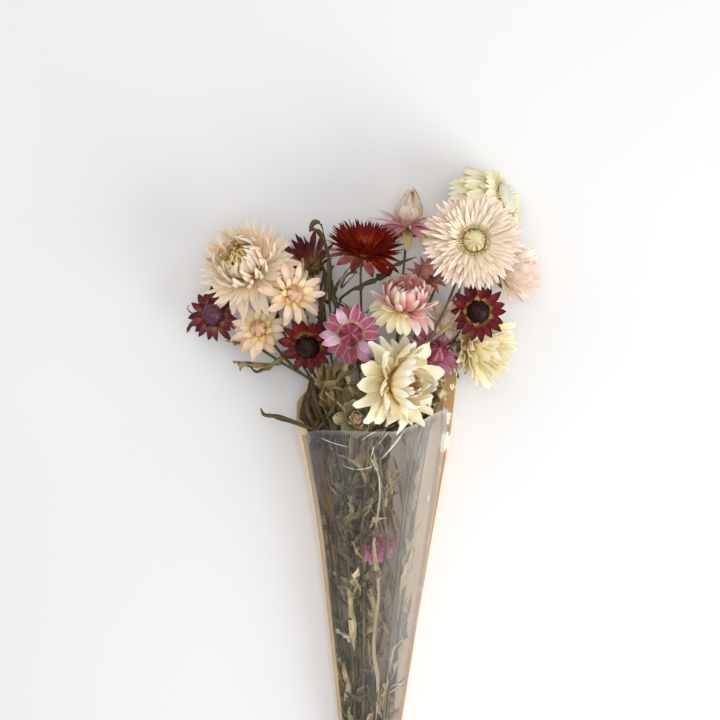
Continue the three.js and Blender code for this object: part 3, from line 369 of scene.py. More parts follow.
# The silky disc of an open head, with hairs that run from its middle to its rim.
def discFinish(name, middle, rim):
    finish = Finish(name)
    along = finish.attribute("along")
    hair = finish.grain(finish.vector(finish.attribute("across") * 60, along * 1.5, 0.0), 1.4, 3.0, 0.6)
    colour = finish.blend(along.ramp(0.1, 0.95), shade(*middle), shade(*rim))
    colour = finish.blend(hair.ramp(0.35, 0.7) * 0.5, colour, shade(158, 150, 110))
    return finish.done({
        "Base Color": colour,
        "Roughness": hair * 0.2 + 0.62,
        "Normal": finish.bump(hair, 0.5, 0.0004),
        "Sheen Weight": 0.25,
    })


discs = {"discGreen": [(228, 220, 174), (238, 228, 186)],
         "discSilver": [(214, 216, 202), (222, 220, 196)],
         "discDark": [(70, 48, 26), (84, 58, 30)]}
for name, (middle, rim) in discs.items():
    finishes[name] = discFinish(name, middle, rim)


# The firm body that the bracts grow out of.
def coreFinish():
    finish = Finish("headCore")
    blotch = finish.grain(finish.place(), 420.0)
    return finish.done({
        "Base Color": finish.blend(blotch.ramp(0.35, 0.7), shade(122, 92, 52), shade(176, 142, 88)),
        "Roughness": blotch * 0.2 + 0.55,
        "Normal": finish.bump(blotch, 0.4, 0.0005),
    })


finishes["headCore"] = coreFinish()
ballSteps = (16, 8)


# A mesh that bracts, teeth and leaves are drawn into. Each is a copy of one flat pattern,
# closed and thin, that is bent along its line from root to tip.
class Bed:
    def __init__(self, across, along):
        self.mesh = bmesh.new()
        bmesh.ops.create_grid(self.mesh, x_segments=across, y_segments=along, size=1)
        bmesh.ops.solidify(self.mesh, geom=self.mesh.faces[:], thickness=1)
        bmesh.ops.recalc_face_normals(self.mesh, faces=self.mesh.faces[:])
        self.layers = pointLayers(self.mesh, ("across", "along", "under", "tone"))
        for vert in self.mesh.verts:
            vert[self.layers["across"]] = vert.co.x
            vert[self.layers["along"]] = 1 - max(0, 0.5 - vert.co.y / 2) ** 1.5
            vert[self.layers["under"]] = -vert.co.z
        smoothed(self.mesh)
        self.pattern = self.mesh.verts[:] + self.mesh.edges[:] + self.mesh.faces[:]
        self.patternVerts = self.mesh.verts[:]
        self.looks = []

    def indexOf(self, look):
        if look not in self.looks:
            self.looks.append(look)
        return self.looks.index(look)

    def draw(self, blade, form, look, roll, place):
        made = bmesh.ops.duplicate(self.mesh, geom=self.pattern)["geom"]
        index = self.indexOf(look)
        rows = {}
        tone = roll.random()
        for item in made:
            if isinstance(item, bmesh.types.BMFace):
                item.material_index = index
            elif isinstance(item, bmesh.types.BMVert):
                share = item[self.layers["along"]]
                key = round(share * 100)
                if key not in rows:
                    rows[key] = bladeRow(blade, form, share)
                across, under = item[self.layers["across"]], item[self.layers["under"]]
                item.co = place @ rowPoint(rows[key], across, under * form["thick"] * mm)
                item[self.layers["tone"]] = tone

    # A rounded body, such as a bud or a disc.
    def ball(self, radii, centre, look, place):
        turned = place @ Matrix.Translation(centre) @ Matrix.Diagonal((*radii, 1))
        made = bmesh.ops.create_uvsphere(
            self.mesh, u_segments=ballSteps[0], v_segments=ballSteps[1], radius=1)["verts"]
        index = self.indexOf(look)
        for vert in made:
            vert[self.layers["along"]] = math.acos(max(-1, min(1, vert.co.z))) / (math.pi / 2)
            vert[self.layers["across"]] = abs(math.atan2(vert.co.y, vert.co.x)) / math.pi
            vert[self.layers["tone"]] = 0.3
            for face in vert.link_faces:
                face.material_index = index
                face.smooth = True
            vert.co = turned @ vert.co

    # A body turned from a profile of [radius, height] points.
    def lathe(self, profile, steps, look, place):
        verts = [self.mesh.verts.new((radius, 0, height)) for radius, height in profile]
        edges = [self.mesh.edges.new(pair) for pair in zip(verts, verts[1:])]
        bmesh.ops.spin(self.mesh, geom=verts + edges, axis=(0, 0, 1), cent=(0, 0, 0),
                       angle=math.tau, steps=steps, use_merge=True)
        faces = list({face for vert in verts for face in vert.link_faces})
        grown = set(faces)
        while faces:
            near = {face for edge in faces.pop().edges for face in edge.link_faces} - grown
            grown |= near
            faces += list(near)
        index = self.indexOf(look)
        bodyVerts = list({vert for face in grown for vert in face.verts})
        bmesh.ops.remove_doubles(self.mesh, verts=bodyVerts, dist=1e-6)
        body = [face for face in grown if face.is_valid]
        bmesh.ops.recalc_face_normals(self.mesh, faces=body)
        for face in body:
            face.material_index = index
            face.smooth = True
        for vert in {vert for face in body for vert in face.verts}:
            vert[self.layers["tone"]] = 0.4
            vert.co = place @ vert.co

    # Leaves stay out of the sleeve's walls.
    def keepIn(self):
        pattern = set(self.patternVerts)
        for vert in self.mesh.verts:
            if vert not in pattern:
                vert.co = kept(vert.co)

    def finish(self, name, slot, node):
        bmesh.ops.delete(self.mesh, geom=self.patternVerts, context="VERTS")
        for vert in self.mesh.verts:
            vert.co.z = max(vert.co.z, floorGap)
        data = meshData(self.mesh, name, [finishNamed(look) for look in self.looks])
        ridePiece(name, data, node)


# The outlines of blades. Widths are shares of the widest place, which lies at peak; power and
# blunt shape the run to the tip; cup rolls the sides up; thick is in mm.
forms = {
    "narrow": {"root": 0.6, "peak": 0.42, "power": 1.5, "blunt": 1.0, "cup": 0.9, "thick": 0.22,
               "wave": 0.06},
    "ray": {"root": 0.7, "peak": 0.55, "power": 2.6, "blunt": 0.75, "cup": 0.6, "thick": 0.2,
            "wave": 0.1},
    "spoon": {"root": 0.55, "peak": 0.66, "power": 2.4, "blunt": 0.6, "cup": 1.15, "thick": 0.25,
              "wave": 0.05},
    "broad": {"root": 0.5, "peak": 0.52, "power": 2.0, "blunt": 0.9, "cup": 0.8, "thick": 0.25,
              "wave": 0.08},
    "rounded": {"root": 0.5, "peak": 0.6, "power": 2.6, "blunt": 0.62, "cup": 0.75, "thick": 0.25,
                "wave": 0.08},
    "petal": {"root": 0.5, "peak": 0.62, "power": 2.8, "blunt": 0.6, "cup": 0.9, "thick": 0.25,
              "wave": 0.24, "waves": 2.2, "ragged": 0.35},
    "closed": {"root": 0.75, "peak": 0.45, "power": 2.2, "blunt": 0.85, "cup": 1.0, "thick": 0.22},
    "tooth": {"root": 0.9, "peak": 0.3, "power": 1.4, "blunt": 1.0, "cup": 0.6, "thick": 0.18},
    "thread": {"root": 0.8, "peak": 0.5, "power": 2.0, "blunt": 0.8, "cup": 1.4, "thick": 0.2},
}
leafForm = {"root": 0.25, "peak": 0.42, "power": 1.5, "blunt": 0.9, "cup": 1.6, "rootCup": 2.4,
            "thick": 0.25, "wave": 0.5, "waves": 3.4, "ragged": 0.7, "tipWidth": 0.06}
shapedForm = {**leafForm, "root": 0.5, "peak": 0.5, "power": 2.2, "blunt": 0.7, "cup": 1.2}


def widthAt(form, share):
    peak = form["peak"]
    if share < peak:
        return mix(form["root"], 1.0, math.sin(share / peak * math.pi / 2))
    rest = (share - peak) / (1 - peak)
    return max((1 - rest ** form["power"]) ** form["blunt"], form.get("tipWidth", 0.05))


# The middle line, the directions across and up, the width and the roll of one row of a blade.
def bladeRow(blade, form, share):
    points, sides = blade["points"], blade["sides"]
    ahead = splineAt(points, min(share + 0.02, 1)) - splineAt(points, max(share - 0.02, 0))
    growth = ahead.normalized()
    across = sides[0] if len(sides) == 1 else splineAt(sides, share)
    twist = blade.get("twist", 0) * share
    if twist:
        across = Matrix.Rotation(twist, 3, growth) @ across
    rise = across.cross(growth).normalized()
    curl = form.get("curl", 0) * blade["length"] * max(0, share - 0.5) ** 2
    half = blade["half"] * widthAt(form, share)
    if "ragged" in form:
        half *= 1 + form["ragged"] * noise.noise(Vector((share * 9, blade["seed"], 0)))
    roll = mix(form.get("rootCup", form["cup"]), form["cup"], share)
    wave = form.get("wave", 0) * half * math.sin(share * form.get("waves", 3) * 6 + blade["seed"])
    return {"at": splineAt(points, share) + rise * curl, "across": growth.cross(rise), "rise": rise,
            "half": half, "roll": max(roll, 1e-3), "wave": wave}


def rowPoint(row, across, depth):
    angle = row["roll"] * across
    reach = math.sin(angle) / row["roll"] * row["half"]
    lift = (1 - math.cos(angle)) / row["roll"] * row["half"] + row["wave"] * across * abs(across)
    return row["at"] + row["across"] * reach + row["rise"] * (lift - depth)


def mergedCopy(node):
    mesh = bmesh.new()
    mesh.from_mesh(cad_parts[node].data)
    bmesh.ops.remove_doubles(mesh, verts=mesh.verts, dist=2e-6)
    return mesh


# Where the solid's blades are: from each tip, back over its rings to the facet it grows from.
# Each ring is put in the mesh's own order, so that every run gives the same sums.
def readBlades(mesh):
    mesh.verts.index_update()
    blades = []
    for tip in [vert for vert in mesh.verts if len(vert.link_edges) == 3]:
        seen = {tip}
        ring = {edge.other_vert(tip) for edge in tip.link_edges}
        rings = []
        while len(ring) == 3:
            rings.append(sorted(ring, key=lambda vert: vert.index))
            seen |= ring
            ring = {edge.other_vert(vert) for vert in ring for edge in vert.link_edges} - seen
        if len(rings) < 2:
            continue
        rings.reverse()
        points = [sum((vert.co for vert in ring), Vector()) / 3 for ring in rings] + [tip.co.copy()]
        sides, halves = [], []
        for n, ring in enumerate(rings[1:], 1):
            corners = [vert.co for vert in ring]
            pairs = [(a, b) for i, a in enumerate(corners) for b in corners[i + 1:]]
            a, b = max(pairs, key=lambda pair: (pair[0] - pair[1]).length)
            keel = next(corner for corner in corners if corner is not a and corner is not b)
            rise = (a + b) / 2 - keel
            growth = points[n + 1] - points[n - 1]
            sides.append(growth.cross(rise).normalized())
            halves.append((a - b).length / 2)
        drawn = [vert for ring in rings[1:] for vert in ring] + [tip]
        blades.append({"points": points, "sides": sides, "half": max(halves),
                       "length": lengthOf(points), "drawn": drawn})
    return blades


def headMatrix(head):
    facing = Vector(head["facing"]).normalized()
    turn = upward.rotation_difference(facing).to_matrix().to_4x4()
    return Matrix.Translation(Vector(head["at"]) * mm) @ turn


layerStep = 0.06 * mm  # bracts whose roots stand in one such step are one layer


# The head's bracts in its own frame, in layers from the middle out.
def layersOf(node, place):
    mesh = mergedCopy(node + "_bracts")
    away = place.inverted()
    turn = away.to_3x3()
    layers = {}
    for blade in readBlades(mesh):
        blade["points"] = [away @ point for point in blade["points"]]
        blade["sides"] = [(turn @ sum(blade["sides"], Vector())).normalized()]
        root = blade["points"][0]
        blade["spin"] = math.atan2(root.y, root.x) % math.tau
        layers.setdefault(round(root.z / layerStep), []).append(blade)
    mesh.free()
    return [sorted(layers[key], key=lambda blade: blade["spin"]) for key in sorted(layers, reverse=True)]


def spun(blade, angle):
    turn = Matrix.Rotation(angle, 3, "Z")
    return {**blade, "points": [turn @ point for point in blade["points"]],
            "sides": [turn @ side for side in blade["sides"]]}


# A bract between two others, each turned towards it by a share of the angle between them.
def between(first, second, gap, share):
    a, b = spun(first, gap * share), spun(second, gap * (share - 1))
    points = [mix(splineAt(a["points"], n / 3), splineAt(b["points"], n / 3), share) for n in range(4)]
    return {"points": points, "sides": [mix(a["sides"][0], b["sides"][0], share)],
            "spin": (first["spin"] + gap * share) % math.tau,
            "half": mix(a["half"], b["half"], share), "length": mix(a["length"], b["length"], share)}


# More bracts between each two of a layer, but not across a gap in it.
def filled(layer, count):
    made = []
    for i, blade in enumerate(layer):
        after = layer[(i + 1) % len(layer)]
        gap = (after["spin"] - blade["spin"]) % math.tau
        if gap < math.tau * 1.6 / max(len(layer), 7):
            made += [between(blade, after, gap, (k + 1) / (count + 1)) for k in range(count)]
    return made


def turnTo(blade, other):
    return (other["spin"] - blade["spin"] + math.pi) % math.tau - math.pi


# A row of bracts that stand half way between one layer and the next.
def rowBetween(inner, outer):
    row = []
    for blade in inner:
        near = min(outer, key=lambda other: abs(turnTo(blade, other)))
        row.append(between(blade, near, turnTo(blade, near), 0.5))
    return row


# The same bract made longer and wider, and a little out of line with the others.
def tapered(blade, grow, width, roll, messy, lift=0.0):
    points = blade["points"]
    root, tip = points[0], points[-1]
    side = blade["sides"][0]
    rise = side.cross(tip - root).normalized() * blade["length"]
    sway = side * swing(roll) * blade["length"] * messy * 3
    size = grow * (1 + swing(roll) * 2 * messy)
    lift += swing(roll) * messy * 2
    made = []
    for n, point in enumerate(points):
        share = n / (len(points) - 1)
        made.append(root + (point - root) * size + sway * share ** 2 + rise * lift * share ** 1.5)
    return {**blade, "points": made, "half": blade["half"] * width, "seed": seedOf(roll),
            "twist": swing(roll) * messy * 9}


plainRing = {"span": (0, 360), "start": 0.0, "stray": 0.1, "uneven": 0.14, "spread": 0.02,
             "twist": 0, "shape": {}}


# A ring of like blades about a head's axis: how many, the [radius, height] points that each
# passes, half its width, its form and its look, in shares of the head's radius.
def ring(count, line, half, form, look, **more):
    return {**plainRing, "count": count, "line": line, "half": half, "form": form, "look": look,
            **more}


def whorl(bed, row, radius, roll, place):
    for i in range(row["count"]):
        share = (i + row["start"]) / row["count"]
        spin = math.radians(mix(*row["span"], share)) + swing(roll) * row["stray"]
        out = Vector((math.cos(spin), math.sin(spin), 0))
        size = 1 + swing(roll) * row["uneven"]
        shift = swing(roll) * row["spread"]
        points = []
        for n, (reach, height) in enumerate(row["line"]):
            points.append((out * (reach + shift * n) + upward * height * (size if n else 1)) * radius)
        blade = {"points": points, "sides": [upward.cross(out) * -1], "half": row["half"] * radius,
                 "length": lengthOf(points), "seed": seedOf(roll), "twist": swing(roll) * row["twist"]}
        bed.draw(blade, {**forms[row["form"]], **row["shape"]}, row["look"], roll, place)


def coreOf(bed, head, place):
    radius = head["radius"] * mm
    wide, tall = head["core"]
    profile = [(0, tall), (0.5 * wide, 0.92 * tall), (0.85 * wide, 0.6 * tall), (wide, 0.1 * tall),
               (0.86 * wide, -0.12), (0.5 * wide, -0.22), (1.2 * mm / radius, -0.3), (0, -0.31)]
    bed.lathe([(x * radius, z * radius) for x, z in profile], 14, head["heartwood"], place)


budShape = {"cup": 1.1, "rootCup": 0.7}
smoothShape = {"cup": 0.75, "rootCup": 0.5, "thick": 0.12}
middles = {
    "open": {
        "balls": [((0.25, 0.25, 0.05), (0, 0, 0.13), "discDark"),
                  ((0.2, 0.2, 0.09), (0.03, 0.01, 0.15), "discGreen")],
        "whorls": [
            ring(54, [(0.27, 0.08), (0.31, 0.18), (0.25, 0.25)], 0.022, "tooth", "strawTeeth",
                 uneven=0.3),
            ring(64, [(0.29, 0.05), (0.36, 0.16), (0.33, 0.27)], 0.024, "tooth", "paleInner",
                 uneven=0.3),
            ring(30, [(0.23, 0.12), (0.2, 0.25), (0.05, 0.24)], 0.028, "tooth", "strawTeeth",
                 span=(140, 320), uneven=0.5, stray=0.3),
            ring(26, [(0.22, 0.12), (0.215, 0.2), (0.17, 0.24)], 0.02, "tooth", "strawTeeth",
                 span=(-40, 140), uneven=0.5, stray=0.3),
        ],
    },
    "double": {
        "balls": [],
        "whorls": [
            ring(34, [(0.19, 0.12), (0.3, 0.34), (0.26, 0.5)], 0.036, "narrow", "doubleInner",
                 uneven=0.2),
            ring(26, [(0.12, 0.14), (0.19, 0.34), (0.14, 0.48)], 0.034, "narrow", "doubleInner",
                 uneven=0.2),
            ring(16, [(0.06, 0.14), (0.09, 0.32), (0.04, 0.44)], 0.03, "narrow", "doubleInner"),
        ],
    },
    "half": {
        "balls": [((0.27, 0.27, 0.31), (0, 0, 0.34), "bud")],
        "whorls": [
            ring(5, [(0.14, 0.1), (0.36, 0.42), (0.02, 0.7)], 0.24, "closed", "bud", shape=budShape,
                 stray=0.3),
            ring(7, [(0.2, 0.1), (0.45, 0.36), (0.07, 0.67)], 0.19, "closed", "bud", shape=budShape,
                 start=0.5, stray=0.3),
        ],
    },
    "smooth": {
        "balls": [((0.43, 0.43, 0.36), (0, 0, 0.3), "bud")],
        "whorls": [
            ring(6, [(0.2, 0.06), (0.5, 0.36), (0.04, 0.69)], 0.2, "closed", "bud", shape=smoothShape,
                 stray=0.2),
            ring(8, [(0.26, 0.04), (0.54, 0.24), (0.2, 0.6)], 0.15, "closed", "bud",
                 shape=smoothShape, start=0.5, stray=0.2),
        ],
    },
    "cup": {
        "balls": [((0.14, 0.14, 0.08), (0, 0, 0.2), "stamenRust")],
        "whorls": [
            ring(40, [(0.13, 0.16), (0.17, 0.36), (0.2, 0.56)], 0.016, "thread", "stamenRust",
                 spread=0.06, stray=0.4),
            ring(28, [(0.06, 0.18), (0.08, 0.38), (0.1, 0.58)], 0.016, "thread", "stamenRust",
                 spread=0.06, stray=0.4),
            ring(20, [(0.2, 0.14), (0.34, 0.34), (0.27, 0.54)], 0.04, "narrow", "creamBall",
                 uneven=0.3),
            ring(1, [(0.27, 0.14), (0.72, 0.27), (1.1, 0.1)], 0.13, "broad", "creamBall",
                 span=(271, 271), stray=0.0),
        ],
    },
    "globe": {
        "balls": [((0.12, 0.12, 0.16), (0, 0, 0.24), "core")],
        "whorls": [
            ring(6, [(0.08, 0.14), (0.2, 0.4), (0.03, 0.66)], 0.11, "closed", "core"),
            ring(9, [(0.14, 0.14), (0.32, 0.4), (0.1, 0.68)], 0.11, "closed", "core", start=0.5),
        ],
    },
    "fan": {
        "balls": [((0.09, 0.09, 0.08), (0, 0, 0.2), "core")],
        "whorls": [
            ring(26, [(0.06, 0.16), (0.1, 0.4), (0.14, 0.56)], 0.018, "thread", "core", spread=0.08,
                 stray=0.4),
        ],
    },
    "flat": {
        "balls": [((0.14, 0.14, 0.08), (0, 0, 0.16), "stamenGlow")],
        "whorls": [
            ring(30, [(0.1, 0.12), (0.14, 0.26), (0.1, 0.36)], 0.02, "tooth", "stamenGlow",
                 spread=0.06),
            ring(20, [(0.04, 0.14), (0.06, 0.26), (0.05, 0.34)], 0.02, "tooth", "stamenGlow",
                 spread=0.06),
        ],
    },
    "spray": {
        "balls": [((0.1, 0.1, 0.14), (0, 0, 0.22), "starPink")],
        "whorls": [
            ring(6, [(0.14, 0.12), (0.42, 0.42), (0.06, 0.84)], 0.3, "closed", "coneBlush"),
        ],
    },
    "swept": {
        "balls": [((0.44, 0.44, 0.16), (0, 0, 0.16), "discSilver"),
                  ((0.48, 0.48, 0.05), (0, 0, 0.13), "discDark")],
        "whorls": [
            ring(60, [(0.46, 0.04), (0.52, 0.14), (0.56, 0.22)], 0.025, "tooth", "strawTeeth",
                 uneven=0.5),
            ring(54, [(0.44, 0.0), (0.58, 0.06), (0.64, 0.12)], 0.028, "tooth", "strawTeeth",
                 uneven=0.5),
        ],
    },
    "bud": {
        "balls": [((0.2, 0.2, 0.16), (0, 0, 0.3), "dryTuft")],
        "whorls": [
            ring(26, [(0.14, 0.2), (0.2, 0.5), (0.24, 0.72)], 0.03, "thread", "dryHusk", spread=0.16,
                 stray=0.5, twist=1.0),
            ring(18, [(0.06, 0.2), (0.08, 0.5), (0.1, 0.74)], 0.03, "thread", "dryTuft", spread=0.16,
                 stray=0.5, twist=1.0),
        ],
    },
}
calyx = ring(13, [(0.1, -0.28), (0.34, -0.22), (0.5, -0.06)], 0.06, "broad", "calyxBrown", uneven=0.3)
# How the finer bracts follow the solid's: how many more stand between two and whether a row
# stands between two layers, their width, length and curl at the tip, how far they are out of
# line, and the steps across and along each.
fineSteps, broadSteps, middleSteps = (2, 6), (4, 7), (2, 4)
plainKind = {"rows": False, "steps": broadSteps, "heartSize": 1.0, "heartwood": "headCore",
             "patches": [], "middle": {}}
kindForms = {
    "open": {"core": (0.3, 0.1), "between": [2, 3, 3], "rows": True,
        "width": [0.42, 0.42, 0.44, 0.46], "form": "ray", "grow": [1.12, 1.06, 1.03, 1.0],
        "curl": 0.15, "messy": 0.09, "steps": fineSteps},
    "double": {"core": (0.28, 0.2), "between": [1, 2, 2, 2, 1], "rows": [True, True, True, False],
        "width": [0.56, 0.6, 0.52, 0.42, 0.84], "form": "spoon", "grow": [1.0, 1.0, 1.0, 1.0, 1.04],
        "curl": [1.0, 0.9, 0.7, 0.4, 0.0], "messy": 0.12, "steps": fineSteps},
    "half": {"core": (0.27, 0.13), "between": 0, "width": [0.95, 1.02, 1.05], "form": "broad",
        "grow": [0.84, 1.0, 1.04], "curl": [0.1, 0.25, 0.1], "messy": 0.06},
    "cup": {"core": (0.28, 0.18), "between": [1, 1, 1, 1], "width": [0.6, 0.76, 0.86, 0.82],
        "form": ["spoon", "spoon", "petal", "petal"], "grow": [0.84, 0.92, 0.96, 0.98],
        "curl": [0.3, 0.5, 0.3, 0.0], "messy": 0.14},
    "globe": {"core": (0.28, 0.16), "between": [0, 1, 0, 1], "rows": [True, True, False, False],
        "width": [0.9, 0.8, 0.8, 0.8], "form": ["spoon", "spoon", "spoon", "rounded"],
        "grow": [0.95, 0.98, 1.0, 1.12], "curl": [0.7, 0.6, 0.3, -0.2], "messy": 0.1},
    "fan": {"core": (0.25, 0.18), "between": 1, "width": 0.7, "form": "broad", "grow": 1.02,
        "curl": 0.0, "messy": 0.08},
    "flat": {"core": (0.3, 0.14), "between": [2, 3, 3, 0], "rows": [True, True, False],
        "width": [0.5, 0.5, 0.5, 1.05], "form": ["narrow", "narrow", "narrow", "broad"],
        "grow": [1.04, 0.98, 0.88, 1.0], "curl": 0.0, "messy": 0.1, "steps": fineSteps},
    "spray": {"core": (0.24, 0.14), "between": 0, "width": [2.3, 1.0, 1.1, 1.1],
        "form": ["closed", "narrow", "broad"], "grow": [0.92, 1.02], "curl": [1.1, 0.0],
        "messy": 0.06},
    "swept": {"core": (0.4, 0.16), "between": 3, "rows": True, "width": 0.72, "form": "rounded",
        "grow": [0.7, 0.88, 0.96], "curl": 0.1, "messy": 0.04, "steps": fineSteps},
    "bud": {"core": (0.34, 0.2), "between": [1, 0], "width": [0.9, 1.5], "form": "rounded",
        "grow": [0.8, 1.25], "curl": [0.3, 0.4], "messy": 0.1},
}


def nth(value, n):
    return value[min(n, len(value) - 1)] if isinstance(value, list) else value


# The look of a bract of layer n, or that of the patch it stands in.
def lookOf(head, n, blade):
    turn = math.degrees(blade["spin"])
    for layer, start, end, look in head["patches"]:
        if layer == n and start < turn < end:
            return look
    return nth(head["looks"], n)


def drawBracts(bed, head, layers, roll, place):
    for n, layer in enumerate(layers):
        form = {**forms[nth(head["form"], n)], "curl": nth(head["curl"], n)}
        row = layer + filled(layer, nth(head["between"], n))
        if nth(head["rows"], n) and n + 1 < len(layers):
            row += rowBetween(layer, layers[n + 1])
        for i, blade in enumerate(row):
            lift = 0.0 if i < len(layer) else swing(roll) * 0.1
            drawn = tapered(blade, nth(head["grow"], n), nth(head["width"], n), roll, head["messy"], lift)
            bed.draw(drawn, form, lookOf(head, n, blade), roll, place)


# One piece for a head's bracts and one for its middle, each in place of its solid.
def makeHead(node, head):
    head = {**plainKind, **kindForms[head["kind"]], **head}
    bractSlot, middleSlot = head["slots"]
    place = headMatrix(head)
    radius = head["radius"] * mm
    roll = random.Random(node)
    bed = Bed(*head["steps"])
    coreOf(bed, head, place)
    whorl(bed, calyx, radius, roll, place)
    drawBracts(bed, head, layersOf(node, place), roll, place)
    bed.finish(camel(node) + "Bracts", "bracts_" + bractSlot, node + "_bracts")
    middle = middles[head.get("heart", head["kind"])]
    swap = head["middle"]
    radius *= head["heartSize"]
    bed = Bed(*middleSteps)
    for radii, centre, look in middle["balls"]:
        size = tuple(part * radius for part in radii)
        bed.ball(size, Vector(centre) * radius, swap.get(look, look), place)
    for row in middle["whorls"]:
        whorl(bed, {**row, "look": swap.get(row["look"], row["look"])}, radius, roll, place)
    bed.finish(camel(node) + "Middle", "middle_" + middleSlot, node + "_middle")


